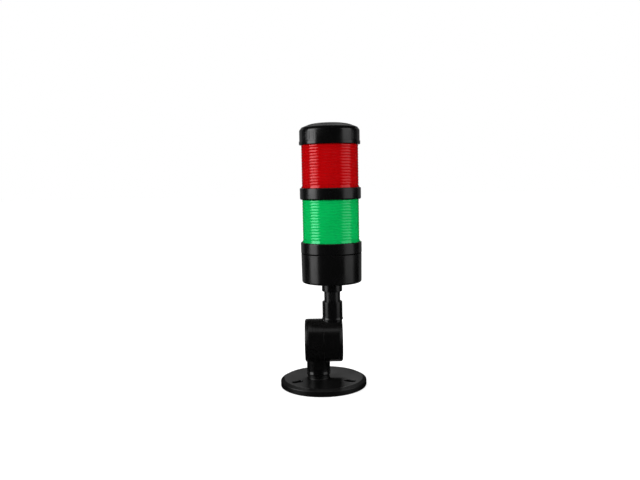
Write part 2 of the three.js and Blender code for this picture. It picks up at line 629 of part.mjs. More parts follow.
function springWasher() {
  const start = stackStart + WASHER_THICKNESS + SEAT_GAP;
  const body = ringAlongX(WASHER_RADIUS, start, start + SPRING_WASHER_THICKNESS);
  const split = solidFrom(
    new THREE.BoxGeometry(SPRING_WASHER_THICKNESS * 2, 1, WASHER_RADIUS * 2)
      .rotateX(radians(20))
      .translate(start + SPRING_WASHER_THICKNESS / 2, 0, WASHER_RADIUS + 0.5),
  );
  return body.subtract(split);
}

function pivotNut() {
  const start = stackStart + WASHER_THICKNESS + SPRING_WASHER_THICKNESS + 2 * SEAT_GAP;
  const end = start + NUT_THICKNESS;
  const body = pulled(hexagonOutline(NUT_ACROSS_FLATS), start, end, 1, laidAlongX);
  return body.subtract(rod(PIVOT_BORE_RADIUS, start - 1, end + 1, MEDIUM_SIDES, laidAlongX));
}

function frictionWasher() {
  const half = HINGE_GAP / 2 + FRICTION_WASHER_SINK - SEAT_GAP;
  return ringAlongX(FRICTION_WASHER_RADIUS, -half, half);
}

function knuckleSeal() {
  const half = HINGE_GAP / 2 + KNUCKLE_SEAL_SINK - SEAT_GAP;
  return ring(KNUCKLE_SEAL_INNER, KNUCKLE_SEAL_OUTER, -half, half, ROUND_SIDES, laidAlongX);
}

// ---- Pole and housing, about the lamp axis -------------------------------------------------------------

const pole = () => ring(POLE_INNER_RADIUS, POLE_RADIUS, POLE_BOTTOM, POLE_TOP, MEDIUM_SIDES);

function poleSetScrew() {
  const start = POLE_RADIUS + SEAT_GAP;
  const end = start + SET_SCREW_LENGTH;
  const socket = pulled(hexagonOutline(SET_SCREW_RADIUS), start + SET_SCREW_LENGTH / 2, end + 1, 1);
  const body = rod(SET_SCREW_RADIUS, start, end, SMALL_SIDES).subtract(socket);
  const mesh = piece('pole_set_screw', blackSteel, body);
  mesh.rotation.x = -Math.PI / 2;
  mesh.position.z = POLE_SEAT + SET_SCREW_ABOVE_SEAT;
  return mesh;
}

function baseHousing() {
  const outside = turned([
    [0, SOCKET_BOTTOM],
    [SOCKET_RADIUS, SOCKET_BOTTOM],
    [SOCKET_RADIUS, HOUSING_BOTTOM],
    ...roundedEdge(
      HOUSING_BOTTOM_RADIUS - HOUSING_EDGE_ROUND,
      HOUSING_BOTTOM + HOUSING_EDGE_ROUND,
      HOUSING_EDGE_ROUND,
      -90,
      0,
    ),
    [HOUSING_TOP_RADIUS, HOUSING_TOP],
    [0, HOUSING_TOP],
  ]);
  const cavity = turned([
    [0, FLOOR_TOP],
    [HOUSING_INNER_RADIUS - DECK_LEDGE, FLOOR_TOP],
    [HOUSING_INNER_RADIUS - DECK_LEDGE, DECK_SEAT],
    [HOUSING_INNER_RADIUS, DECK_SEAT],
    [HOUSING_INNER_RADIUS, HOUSING_TOP + 1],
    [0, HOUSING_TOP + 1],
  ]);
  const poleBore = rod(POLE_RADIUS + POLE_CLEARANCE, SOCKET_BOTTOM - 1, FLOOR_TOP + 1, MEDIUM_SIDES);
  return cut(outside, cavity, poleBore);
}

function poleWasher() {
  const bottom = FLOOR_TOP + SEAT_GAP;
  const top = bottom + POLE_WASHER_THICKNESS;
  return ring(POLE_RADIUS + FIT_GAP, POLE_WASHER_RADIUS, bottom, top, MEDIUM_SIDES);
}

function poleNut() {
  const bottom = FLOOR_TOP + POLE_WASHER_THICKNESS + 2 * SEAT_GAP;
  const top = bottom + POLE_NUT_THICKNESS;
  const body = pulled(hexagonOutline(POLE_NUT_ACROSS_FLATS), bottom, top, 1);
  return body.subtract(rod(POLE_RADIUS + FIT_GAP, bottom - 1, top + 1, MEDIUM_SIDES));
}

// ---- Bayonet -------------------------------------------------------------------------------------------
// Height 0 is the shoulder that the next unit stands on.

const lugAngles = Array.from({ length: LUG_COUNT }, (_, i) => LUG_FIRST_ANGLE + (360 / LUG_COUNT) * i);

// The neck with its lugs, open inside up to the lip that holds the top board.
function bayonetNeck(root) {
  const inner = NECK_INNER_RADIUS;
  const neck = turned([
    [inner, -root],
    [NECK_RADIUS, -root],
    [NECK_RADIUS, NECK_HEIGHT],
    [inner - BOARD_LIP_REACH, NECK_HEIGHT],
    [inner - BOARD_LIP_REACH, NECK_HEIGHT - BOARD_LIP],
    [inner, NECK_HEIGHT - BOARD_LIP],
  ]);
  const lugs = lugAngles.map((angle) =>
    sector(
      NECK_RADIUS - NECK_WALL / 2,
      LUG_RADIUS,
      angle - LUG_SWEEP / 2,
      angle + LUG_SWEEP / 2,
      LUG_BOTTOM,
      LUG_TOP,
    ));
  return joined([neck, ...lugs]);
}

// The hollow that a neck twists into, to be cut from a collar or cap whose underside is at height 0. Two
// stops bound the travel of each lug, and a notch in the flange lets it out at the end of the twist.
function bayonetSocket() {
  const flangeRadius = NECK_RADIUS + FIT_GAP;
  const wedge = (from, to, bottom, top) =>
    sector(flangeRadius - 1, SOCKET_ROOM_RADIUS + 1, from, to, bottom, top);
  const stops = lugAngles.flatMap((angle) => {
    const locked = angle + LUG_SWEEP / 2 + STOP_GAP_ANGLE;
    const open = angle - TWIST_ANGLE - LUG_SWEEP / 2 - STOP_GAP_ANGLE;
    return [
      wedge(locked, locked + STOP_SWEEP, FLANGE_TOP - 1, SOCKET_DEPTH + 1),
      wedge(open - STOP_SWEEP, open, FLANGE_TOP - 1, SOCKET_DEPTH + 1),
    ];
  });
  const notches = lugAngles.map((angle) => {
    const half = LUG_SWEEP / 2 + NOTCH_MARGIN_ANGLE;
    const centre = angle - TWIST_ANGLE;
    return wedge(centre - half, centre + half, 0, (FLANGE_TOP + SOCKET_DEPTH) / 2);
  });
  const notched = rod(SOCKET_ROOM_RADIUS, SEAL_SEAT_HEIGHT / 2, SOCKET_DEPTH).intersect(joined(notches));
  return joined([
    rod(SOCKET_ROOM_RADIUS, -1, SEAL_SEAT_HEIGHT),
    rod(flangeRadius, -1, SOCKET_DEPTH),
    cut(rod(SOCKET_ROOM_RADIUS, FLANGE_TOP, SOCKET_DEPTH), ...stops),
    notched,
  ]);
}

const bayonetSeal = () =>
  ring(NECK_RADIUS + FIT_GAP, SOCKET_ROOM_RADIUS - FIT_GAP, SEAT_GAP, SEAL_SEAT_HEIGHT - SEAT_GAP);

const contactBoard = () => rod(BOARD_RADIUS, TOP_BOARD_HEIGHT, TOP_BOARD_HEIGHT + BOARD_THICKNESS);

// The deck plugs the housing's mouth and carries the first neck. Its board is held under the neck's lip.
function bayonetDeck() {
  const plug = turned([
    [NECK_INNER_RADIUS, SEAT_GAP - DECK_PLUG_DEPTH],
    [HOUSING_INNER_RADIUS - FIT_GAP, SEAT_GAP - DECK_PLUG_DEPTH],
    [HOUSING_INNER_RADIUS - FIT_GAP, 0],
    [NECK_INNER_RADIUS, 0],
  ]);
  const shelfRadius = NECK_INNER_RADIUS - BOARD_LIP_REACH;
  const shelfTop = TOP_BOARD_HEIGHT - SEAT_GAP;
  const shelf = ring(shelfRadius, NECK_INNER_RADIUS + NECK_WALL / 2, shelfTop - DECK_FLOOR, shelfTop);
  return joined([plug, bayonetNeck(DECK_PLUG_DEPTH / 2), shelf]);
}

function terminalBlock() {
  const top = TOP_BOARD_HEIGHT - SEAT_GAP;
  const halfLength = TERMINAL_LENGTH / 2;
  const halfWidth = TERMINAL_WIDTH / 2;
  const body = block(-halfLength, halfLength, -halfWidth, halfWidth, top - TERMINAL_HEIGHT, top);
  const wayCentre = top - TERMINAL_HEIGHT / 2 - TERMINAL_WAY / 4;
  const half = TERMINAL_WAY / 2;
  const ways = [-1, 0, 1].map((i) => {
    const x = (i * TERMINAL_LENGTH) / 3;
    return block(x - half, x + half, -halfWidth - 1, 0, wayCentre - half, wayCentre + half);
  });
  return cut(body, ...ways);
}

// ---- Lamp modules, height 0 at the collar's underside --------------------------------------------------

function collar() {
  const low = COLLAR_BOTTOM_ROUND;
  const high = COLLAR_TOP_ROUND;
  const outside = turned([
    [0, 0],
    ...roundedEdge(COLLAR_RADIUS - low, low, low, -90, 0, 2),
    ...roundedEdge(COLLAR_RADIUS - high, COLLAR_HEIGHT - high, high, 0, 90, 2),
    [0, COLLAR_HEIGHT],
  ]);
  const lensSeat = rod(LENS_SPIGOT_RADIUS + FIT_GAP, WEB_TOP, COLLAR_HEIGHT + 1);
  const webHole = rod(WEB_HOLE_RADIUS, SOCKET_DEPTH - 1, WEB_TOP + 1);
  return cut(outside, bayonetSocket(), webHole, lensSeat);
}

// A ribbed sleeve with a spigot below, which drops into the collar, and a bayonet neck above.
function lens() {
  const pitch = LENS_HEIGHT / LENS_RIB_COUNT;
  const ribs = Array.from({ length: LENS_RIB_COUNT }, (_, i) => [
    [LENS_RADIUS - LENS_RIB_DEPTH, LENS_BASE + pitch * i],
    [LENS_RADIUS, LENS_BASE + pitch * (i + 0.5)],
  ]).flat();
  const spigotBottom = WEB_TOP + SEAT_GAP;
  const sleeve = turned([
    [LENS_INNER_RADIUS, spigotBottom],
    [LENS_SPIGOT_RADIUS, spigotBottom],
    [LENS_SPIGOT_RADIUS, LENS_BASE],
    ...ribs,
    [LENS_RADIUS - LENS_RIB_DEPTH, LENS_TOP],
    [NECK_INNER_RADIUS, LENS_TOP],
    [NECK_INNER_RADIUS, LENS_TOP - LENS_WALL],
    [LENS_INNER_RADIUS, LENS_TOP - LENS_WALL * 2],
  ], LENS_SIDES);
  const raised = (body) => body.translate([0, 0, LENS_TOP]);
  return sleeve.add(raised(bayonetNeck(LENS_WALL / 2)));
}

const pinPlaces = PIN_CIRCLES.map((radius, i) => aboutZ(PIN_ANGLES[i], radius));

function contactBase() {
  const body = turned([
    [0, BASE_BOTTOM],
    [WEB_HOLE_RADIUS - FIT_GAP, BASE_BOTTOM],
    [WEB_HOLE_RADIUS - FIT_GAP, BASE_FLANGE],
    [LENS_INNER_RADIUS - FIT_GAP, BASE_FLANGE],
    [LENS_INNER_RADIUS - FIT_GAP, BASE_TOP],
    [0, BASE_TOP],
  ]);
  const holder = block(
    -HOLDER_WIDTH / 2,
    HOLDER_WIDTH / 2,
    -HOLDER_DEPTH / 2,
    HOLDER_DEPTH / 2,
    BASE_TOP - 0.5,
    HOLDER_TOP,
  );
  const slotHalf = BOARD_THICKNESS / 2 + SEAT_GAP;
  const boardHalf = LED_BOARD_WIDTH / 2 + SEAT_GAP;
  const slotFloor = HOLDER_TOP - LED_BOARD_SUNK;
  const boardSlot = block(-boardHalf, boardHalf, -slotHalf, slotHalf, slotFloor, HOLDER_TOP + 1);
  const pinHoles = pinPlaces.map(({ x, y }) =>
    rod(PIN_RADIUS + SEAT_GAP, BASE_BOTTOM - 1, HOLDER_TOP + 1, PIN_SIDES, shifted(x, y)));
  return cut(body.add(holder), boardSlot, ...pinHoles);
}

function ledBoard() {
  const halfWidth = LED_BOARD_WIDTH / 2;
  const half = BOARD_THICKNESS / 2;
  return block(-halfWidth, halfWidth, -half, half, LED_BOARD_BOTTOM, LED_BOARD_TOP);
}

// One lamp chip: a square body with a low dome-like step, facing -Y.
function led() {
  const half = LED_WIDTH / 2;
  const start = BOARD_THICKNESS / 2 + SEAT_GAP;
  const body = block(-half, half, -start - LED_DEPTH / 2, -start, -half, half);
  const dome = turned([
    [0, start + LED_DEPTH / 4],
    [half * 0.8, start + LED_DEPTH / 4],
    [half * 0.8, start + LED_DEPTH * 0.6],
    [half * 0.45, start + LED_DEPTH],
    [0, start + LED_DEPTH],
  ], PIN_SIDES, (geometry) => geometry.rotateX(Math.PI / 2));
  return body.add(dome);
}

// Pins reach from the contact base down to just above the board of the unit below.
function contactPin() {
  const tip = NECK_HEIGHT - BOARD_LIP - UNIT_GAP + SEAT_GAP;
  const top = BASE_TOP;
  return turned([
    [0, tip],
    [PIN_RADIUS / 2, tip],
    [PIN_RADIUS, tip + PIN_RADIUS / 2],
    [PIN_RADIUS, top],
    [0, top],
  ], PIN_SIDES);
}

function busBar() {
  const halfThickness = BUS_BAR_THICKNESS / 2;
  const halfWidth = BUS_BAR_WIDTH / 2;
  const top = LENS_TOP + TOP_BOARD_HEIGHT - SEAT_GAP;
  return block(-halfThickness, halfThickness, -halfWidth, halfWidth, BASE_TOP + SEAT_GAP, top);
}

function lampModule(colour, lensMaterial, base) {
  const group = new THREE.Group();
  group.position.z = base;
  const add = (name, material, body, place = () => {}) => {
    const mesh = piece(`${colour}_${name}`, material, body);
    place(mesh);
    group.add(mesh);
  };
  add('collar', blackPlastic, collar());
  add('lens', lensMaterial, lens());
  add('seal', rubber, bayonetSeal());
  add('contact_base', innerPlastic, contactBase());
  add('led_board', circuitBoard, ledBoard());
  const ledHeights = [LED_FIRST_HEIGHT, LED_FIRST_HEIGHT + LED_SPACING];
  [0, Math.PI].forEach((turn, side) => {
    ledHeights.forEach((height, row) => {
      add(`led_${side * 2 + row + 1}`, ledResin, led(), (mesh) => {
        mesh.rotation.z = turn;
        mesh.position.z = height;
      });
    });
  });
  pinPlaces.forEach(({ x, y }, i) => {
    add(`contact_pin_${i + 1}`, brass, contactPin(), (mesh) => mesh.position.set(x, y, 0));
  });
  add('top_board', circuitBoard, contactBoard(), (mesh) => {
    mesh.position.z = LENS_TOP;
  });
  [-1, 1].forEach((side, i) => {
    add(`bus_bar_${i + 1}`, brass, busBar(), (mesh) => {
      mesh.position.x = side * BUS_BAR_X;
    });
  });
  return group;
}

// ---- Cap, height 0 at its underside --------------------------------------------------------------------

function topCap() {
  const outside = turned([
    [0, 0],
    [CAP_LIP_RADIUS - 0.4, 0],
    [CAP_LIP_RADIUS, 0.4],
    [CAP_LIP_RADIUS, CAP_LIP_HEIGHT - 0.4],
    [CAP_RADIUS, CAP_LIP_HEIGHT],
    [CAP_RADIUS, CAP_SIDE_HEIGHT],
    [(CAP_RADIUS + CAP_SHOULDER_RADIUS) / 2 + 0.35, (CAP_SIDE_HEIGHT + CAP_SHOULDER_HEIGHT) / 2 + 0.35],
    [CAP_SHOULDER_RADIUS, CAP_SHOULDER_HEIGHT],
    [CAP_RAMP_RADIUS, CAP_RAMP_HEIGHT],
    [CAP_DISC_RADIUS + 0.3, CAP_RAMP_HEIGHT],
    [CAP_DISC_RADIUS, CAP_HEIGHT - 0.3],
    [CAP_DISC_RADIUS - 0.5, CAP_HEIGHT],
    [0, CAP_HEIGHT],
  ]);
  const hollowTop = CAP_SHOULDER_HEIGHT - CAP_TOP_WALL;
  const hollow = turned([
    [0, SOCKET_DEPTH - 1],
    [CAP_INNER_RADIUS, SOCKET_DEPTH - 1],
    [CAP_INNER_RADIUS, hollowTop - 2],
    [CAP_INNER_RADIUS - 2, hollowTop],
    [0, hollowTop],
  ]);
  return cut(outside, bayonetSocket(), hollow);
}

// ---- Assembly ------------------------------------------------------------------------------------------

const plateGroup = groupAt(
  0,
  0,
  0,
  piece('base_plate', blackPlate, basePlate()),
  ...plateScrewPlaces.map(([x, y], i) => {
    const screw = piece(`plate_screw_${i + 1}`, zincSteel, plateScrew());
    screw.position.set(x, y, PLATE_SCREW_SINK);
    return screw;
  }),
);

// The lower half drum and its cover are turned to face -X.
const lowerKnuckleGroup = groupAt(
  HINGE_PLANE_X - HINGE_GAP / 2,
  0,
  HINGE_HEIGHT,
  piece('lower_knuckle', blackPlastic, lowerKnuckle()),
  piece('lower_cover', blackPlastic, cover(screwHeadPocket())),
);
lowerKnuckleGroup.rotation.z = Math.PI;

const upperKnuckleGroup = groupAt(
  HINGE_PLANE_X + HINGE_GAP / 2,
  0,
  HINGE_HEIGHT,
  piece('upper_knuckle', blackPlastic, upperKnuckle()),
  piece('upper_cover', blackPlastic, cover(nutPocket())),
);

const pivotGroup = groupAt(
  HINGE_PLANE_X,
  0,
  HINGE_HEIGHT,
  piece('pivot_screw', blackSteel, pivotScrew()),
  piece('friction_washer', acetal, frictionWasher()),
  piece('knuckle_seal', rubber, knuckleSeal()),
  piece('pivot_washer', zincSteel, pivotWasher()),
  piece('spring_washer', zincSteel, springWasher()),
  piece('pivot_nut', zincSteel, pivotNut()),
);

const deckGroup = groupAt(
  0,
  0,
  HOUSING_TOP,
  piece('bayonet_deck', innerPlastic, bayonetDeck()),
  piece('base_board', circuitBoard, contactBoard()),
  piece('terminal_block', terminalPlastic, terminalBlock()),
);

const capGroup = groupAt(
  0,
  0,
  CAP_BASE,
  piece('top_cap', blackPlastic, topCap()),
  piece('cap_seal', rubber, bayonetSeal()),
);

const lampGroup = groupAt(
  LAMP_AXIS_X,
  0,
  0,
  piece('pole', blackPole, pole()),
  poleSetScrew(),
  piece('base_housing', blackPlastic, baseHousing()),
  piece('pole_washer', zincSteel, poleWasher()),
  piece('pole_nut', zincSteel, poleNut()),
  deckGroup,
  lampModule('green', greenLens, GREEN_BASE),
  lampModule('red', redLens, RED_BASE),
  capGroup,
);

const signalTower = new THREE.Group();
signalTower.add(plateGroup, lowerKnuckleGroup, upperKnuckleGroup, pivotGroup, lampGroup);

export default signalTower;
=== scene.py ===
import math

import bmesh
import bpy
from mathutils import Matrix, Vector


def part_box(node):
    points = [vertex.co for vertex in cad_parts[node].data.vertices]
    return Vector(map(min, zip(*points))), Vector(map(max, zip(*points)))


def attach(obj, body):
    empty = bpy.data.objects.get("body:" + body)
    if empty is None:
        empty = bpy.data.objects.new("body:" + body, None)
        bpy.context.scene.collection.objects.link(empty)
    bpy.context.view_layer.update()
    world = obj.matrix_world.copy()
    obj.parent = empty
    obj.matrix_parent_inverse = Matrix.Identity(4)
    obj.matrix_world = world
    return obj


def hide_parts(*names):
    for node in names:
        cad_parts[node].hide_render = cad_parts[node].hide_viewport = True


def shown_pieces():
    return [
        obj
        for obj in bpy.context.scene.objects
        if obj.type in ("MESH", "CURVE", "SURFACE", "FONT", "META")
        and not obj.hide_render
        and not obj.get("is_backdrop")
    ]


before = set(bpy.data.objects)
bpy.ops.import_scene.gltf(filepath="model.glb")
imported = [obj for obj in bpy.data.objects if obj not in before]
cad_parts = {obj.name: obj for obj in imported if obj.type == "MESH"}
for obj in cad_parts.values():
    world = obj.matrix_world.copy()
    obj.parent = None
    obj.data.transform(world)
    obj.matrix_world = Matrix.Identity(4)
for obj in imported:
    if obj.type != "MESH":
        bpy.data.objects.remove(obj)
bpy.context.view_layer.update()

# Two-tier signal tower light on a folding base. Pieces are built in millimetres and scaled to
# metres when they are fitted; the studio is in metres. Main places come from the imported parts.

MM = 0.001
FINE = 144
FIT_GAP = 0.3
SEAT_GAP = 0.1
STEP = 0.01
WELD_DISTANCE = 0.0005


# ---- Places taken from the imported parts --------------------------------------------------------

def span(node):
    low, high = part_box(node)
    return low / MM, high / MM


plate_high = span("base_plate")[1]
lower_low = span("lower_knuckle")[0]
upper_high = span("upper_knuckle")[1]
lower_cover_low, lower_cover_high = span("lower_cover")
seal_low, seal_high = span("knuckle_seal")
pole_low, pole_high = span("pole")
housing_low, housing_high = span("base_housing")
cap_low, cap_high = span("top_cap")
screw_low, screw_high = span("pivot_screw")
nut_low, nut_high = span("pivot_nut")

PLATE_RADIUS = plate_high.x
PLATE_THICKNESS = 6.0
PLATE_EDGE_HEIGHT = 4.4
PLATE_FLAT_RADIUS = 33.0
BOSS_TOP = plate_high.z
STEM_X = -4.1
STEM_RADIUS = 10.1
BOSS_RADIUS = 9.2
CABLE_X = -5.2
CABLE_RADIUS = 4.5
SLOT_CENTRE_RADIUS = 25.0
SLOT_LENGTH = 10.0
SLOT_WIDTH = 6.0
SLOT_ANGLES = (90, 210, 330)
SCREW_CIRCLE_RADIUS = 7.3
SCREW_ANGLES = (0, 120, 240)
SCREW_HOLE_RADIUS = 1.65
SCREW_SEAT_RADIUS = 3.1
SCREW_SEAT_TOP = 2.6
SCREW_HEAD_BOTTOM = 0.5

HINGE_X = (seal_low.x + seal_high.x) / 2
HINGE_Z = (lower_cover_low.z + lower_cover_high.z) / 2
HINGE_GAP = 0.4
DRUM_RADIUS = (lower_cover_high.z - lower_cover_low.z) / 2
DRUM_INNER_RADIUS = 15.6
DRUM_LENGTH = 13.0
DRUM_FACE = 3.0
RIM_REACH = 0.1
WASHER_SEAT_RADIUS = 7.3
WASHER_SEAT_DEPTH = 0.6
RING_SEAT_INNER_RADIUS = 14.55
RING_SEAT_OUTER_RADIUS = 16.65
RING_SEAT_DEPTH = 0.8
WINDOW_INNER_RADIUS = 8.4
WINDOW_OUTER_RADIUS = 13.4
WINDOW_HALF_SWEEP = 60
COVER_START = 13.1
COVER_END = 15.5
COVER_SPIGOT_RADIUS = 15.3
COVER_SPIGOT_INNER_RADIUS = 13.7
COVER_SPIGOT_END = COVER_START - 2
COVER_TUBE_RADIUS = 6.8
PIVOT_BORE = 2.8
PIVOT_KEY_SIZE = 3.0
NUT_SIZE = 8.0
SKIRT_DROP = 2.7

LAMP_X = (pole_low.x + pole_high.x) / 2
SLEEVE_TOP = upper_high.z
SLEEVE_RADIUS = 8.4
POLE_RADIUS = (pole_high.x - pole_low.x) / 2
POLE_INNER_RADIUS = 5.3
POLE_BORE_RADIUS = 6.95
POLE_SEAT = pole_low.z - SEAT_GAP
SET_SCREW_HEIGHT = POLE_SEAT + 6.5
SET_SCREW_LENGTH = 3.0
PAD_RADIUS = 3.4
PAD_REACH = 10.2

SOCKET_RADIUS = 8.5
HOUSING_BOTTOM = housing_low.z + 7.8
FLOOR_TOP = HOUSING_BOTTOM + 2.6
DECK_SEAT = housing_high.z - 5.0
DECK_RADIUS = 22.5
HOUSING_RADIUS = 25.0
HOUSING_FOOT_RADIUS = 24.7
HOUSING_INNER_RADIUS = 21.5

NECK_RADIUS = 21.3
NECK_INNER_RADIUS = 19.7
LUG_RADIUS = 22.4
ROOM_RADIUS = 22.7
LUG_BOTTOM = 3.2
LUG_TOP = 5.0
NECK_HEIGHT = 5.2
FLANGE_RADIUS = 21.6
SEAL_SEAT = 1.3
FLANGE_TOP = 2.9
SOCKET_DEPTH = 5.4
WEB_TOP = 6.8
WEB_HOLE_RADIUS = 18.9
COLLAR_RADIUS = 25.15
COLLAR_HEIGHT = 9.5
COLLAR_MOUTH_RADIUS = 22.9
LENS_RADIUS = 23.35
LENS_INNER_RADIUS = 21.65
LENS_SPIGOT_RADIUS = 22.6
LENS_BASE = 9.6
LENS_HEIGHT = 34.8
LENS_RIBS = 15
RIB_DEPTH = 0.35
RIB_STEPS = 8
LENS_FOOT_REACH = 0.55
LENS_FOOT_HEIGHT = 0.2
LENS_FOOT_SHARE = 0.6
LUG_ANGLES = (30, 150, 270)
LUG_SWEEP = 16
LIP_REACH = 1.6
STOP_OFFSET = LUG_SWEEP / 2 + 3
STOP_HALF_SWEEP = 2
TWIST = 20

CAP_RADIUS = 24.7
CAP_LIP_RADIUS = 25.1
CAP_LIP_HEIGHT = 2.8
CAP_CEILING = 11.7
CAP_HEIGHT = cap_high.z - cap_low.z
GRIP_MIDDLES = (-135, -45, 45, 135)
GRIP_HALF_SWEEP = 14
GRIP_PITCH = 3.5
GRIP_START = 720
GRIP_DEPTH = 0.07


# ---- Shape helpers -----------------------------------------------------------------------------

def rounded(corners, steps=5):
    """An outline from (radius, height, rounding) corners, each corner turned into an arc."""
    outline = []
    for i, (radius, height, *fillet) in enumerate(corners):
        here = Vector((radius, height))
        size = fillet[0] if fillet else 0
        if not size:
            outline.append((radius, height))
            continue
        before = (Vector(corners[i - 1][:2]) - here).normalized()
        after = (Vector(corners[(i + 1) % len(corners)][:2]) - here).normalized()
        half = before.angle(after) / 2
        centre = here + (before + after).normalized() * size / math.sin(half)
        reach = size / math.tan(half)
        start = here + before * reach - centre
        end = here + after * reach - centre
        first = math.atan2(start.y, start.x)
        turn = math.atan2(end.y, end.x) - first
        turn = (turn + math.pi) % (2 * math.pi) - math.pi
        for k in range(steps + 1):
            angle = first + turn * k / steps
            outline.append((centre.x + size * math.cos(angle), centre.y + size * math.sin(angle)))
    return outline


def welded(shape, mesh):
    """Joins points that coincide, drops faces without area and writes the shape to the mesh."""
    bmesh.ops.remove_doubles(shape, verts=shape.verts, dist=WELD_DISTANCE)
    bmesh.ops.dissolve_degenerate(shape, edges=shape.edges, dist=WELD_DISTANCE)
    bmesh.ops.recalc_face_normals(shape, faces=shape.faces)
    shape.to_mesh(mesh)
    shape.free()


def made(name, points, faces, place=Matrix()):
    """A mesh object through the points as given, doubled points welded and faces turned out."""
    shape = bmesh.new()
    corners = [shape.verts.new(place @ Vector(point)) for point in points]
    for face in faces:
        shape.faces.new([corners[i] for i in face])
    mesh = bpy.data.meshes.new(name)
    welded(shape, mesh)
    piece = bpy.data.objects.new(name, mesh)
    bpy.context.scene.collection.objects.link(piece)
    return piece


def turned(name, outline, place=Matrix(), sides=FINE):
    """A shape turned about its own Z. The outline may be a function of the angle in degrees."""
    outline_at = outline if callable(outline) else lambda angle: outline
    points = []
    for i in range(sides):
        angle = 2 * math.pi * i / sides
        row = outline_at(math.degrees(angle))
        points += [(r * math.cos(angle), r * math.sin(angle), z) for r, z in row]
    count = len(row)
    leaves_axis = all(r > 0 for r, z in row)
    faces = []
    for i in range(sides):
        here, there = i * count, (i + 1) % sides * count
        for j in range(count if leaves_axis else count - 1):
            k = (j + 1) % count
            faces.append((here + j, there + j, there + k, here + k))
    return made(name, points, faces, place)


def stacked(name, rings, place=Matrix()):
    """A solid through rings of points, closed by a face at each end."""
    count = len(rings[0])
    points = [point for ring in rings for point in ring]
    last = (len(rings) - 1) * count
    faces = [tuple(range(count)), tuple(range(last, last + count))]
    for level in range(len(rings) - 1):
        here, above = level * count, (level + 1) * count
        for j in range(count):
            k = (j + 1) % count
            faces.append((here + j, here + k, above + k, above + j))
    return made(name, points, faces, place)


def hexagon_ring(corner_radius, height, start=0):
    angles = [math.radians(start) + 2 * math.pi * i / 6 for i in range(6)]
    return [(corner_radius * math.cos(a), corner_radius * math.sin(a), height) for a in angles]


def slot_ring(length, width, grow, height, steps=12):
    reach = (length - width) / 2
    ring = []
    for side, first in ((1, -90), (-1, 90)):
        for k in range(steps + 1):
            angle = math.radians(first + 180 * k / steps)
            radius = width / 2 + grow
            ring.append((side * reach + radius * math.cos(angle), radius * math.sin(angle), height))
    return ring


def sector_ring(inner, outer, first, last, height, steps=24):
    angles = [math.radians(first + (last - first) * k / steps) for k in range(steps + 1)]
    outside = [(outer * math.cos(a), outer * math.sin(a), height) for a in angles]
    inside = [(inner * math.cos(a), inner * math.sin(a), height) for a in reversed(angles)]
    return outside + inside


def rod(name, radius, bottom, top, place=Matrix(), sides=FINE):
    return turned(name, [(0, bottom), (radius, bottom), (radius, top), (0, top)], place, sides)


def combined(piece, tool, how):
    change = piece.modifiers.new("Shape", "BOOLEAN")
    change.operation = how
    change.object = tool
    change.solver = "EXACT"
    shaped = bpy.data.meshes.new_from_object(
        piece.evaluated_get(bpy.context.evaluated_depsgraph_get()))
    piece.modifiers.clear()
    piece.data = shaped
    clean = bmesh.new()
    clean.from_mesh(shaped)
    welded(clean, shaped)
    bpy.data.objects.remove(tool)
    return piece


def carve(piece, *tools):
    for tool in tools:
        combined(piece, tool, "DIFFERENCE")
    return piece


def merge(piece, *tools):
    for tool in tools:
        combined(piece, tool, "UNION")
    return piece


def upright(x, y=0.0, z=0.0):
    return Matrix.Translation((x, y, z))


def along_hinge(x=0.0):
    """Places a shape made about Z on the hinge's axis, so that its Z runs along the frame's X."""
    return Matrix.Translation((x, 0, HINGE_Z)) @ Matrix.Rotation(math.radians(90), 4, "Y")


def out_the_back(height):
    """Places a shape made about Z so that it runs from the lamp axis straight to the back."""
    return upright(LAMP_X, 0, height) @ Matrix.Rotation(math.radians(-90), 4, "X")


def outward(side):
    """Places a shape made about Z along the hinge, starting at one hinge face and going out."""
    face = Matrix.Translation((HINGE_X + side * HINGE_GAP / 2, 0, HINGE_Z))
    return face @ Matrix.Rotation(math.radians(90 * side), 4, "Y")


# ---- Shared surface effects --------------------------------------------------------------------

def new_group(name, inputs, outputs):
    group = bpy.data.node_groups.new(name, "ShaderNodeTree")
    for label, value in inputs:
        socket = group.interface.new_socket(
            name=label, in_out="INPUT", socket_type="NodeSocketFloat")
        socket.default_value = value
    for label in outputs:
        group.interface.new_socket(
            name=label, in_out="OUTPUT", socket_type="NodeSocketFloat")
    start = group.nodes.new("NodeGroupInput")
    end = group.nodes.new("NodeGroupOutput")
    return group, start, end


def arithmetic(tree, operation, first, second=None, third=None, clamp=False):
    """A Math node fed by sockets or plain numbers."""
    node = tree.nodes.new("ShaderNodeMath")
    node.operation = operation
    node.use_clamp = clamp
    for socket, value in zip(node.inputs, (first, second, third)):
        if isinstance(value, bpy.types.NodeSocket):
            tree.links.new(value, socket)
        elif value is not None:
            socket.default_value = value
    return node.outputs[0]


def noise(tree, scale, detail=3.0, roughness=0.5, stretch=None):
    """Noise over the piece's own coordinates; scale is a socket or a number, per metre."""
    place = tree.nodes.new("ShaderNodeTexCoord").outputs["Object"]
    if stretch:
        mapping = tree.nodes.new("ShaderNodeMapping")
        mapping.inputs["Scale"].default_value = stretch
        tree.links.new(place, mapping.inputs["Vector"])
        place = mapping.outputs["Vector"]
    node = tree.nodes.new("ShaderNodeTexNoise")
    tree.links.new(place, node.inputs["Vector"])
    if isinstance(scale, bpy.types.NodeSocket):
        tree.links.new(scale, node.inputs["Scale"])
    else:
        node.inputs["Scale"].default_value = scale
    node.inputs["Detail"].default_value = detail
    node.inputs["Roughness"].default_value = roughness
    return node.outputs["Fac"]


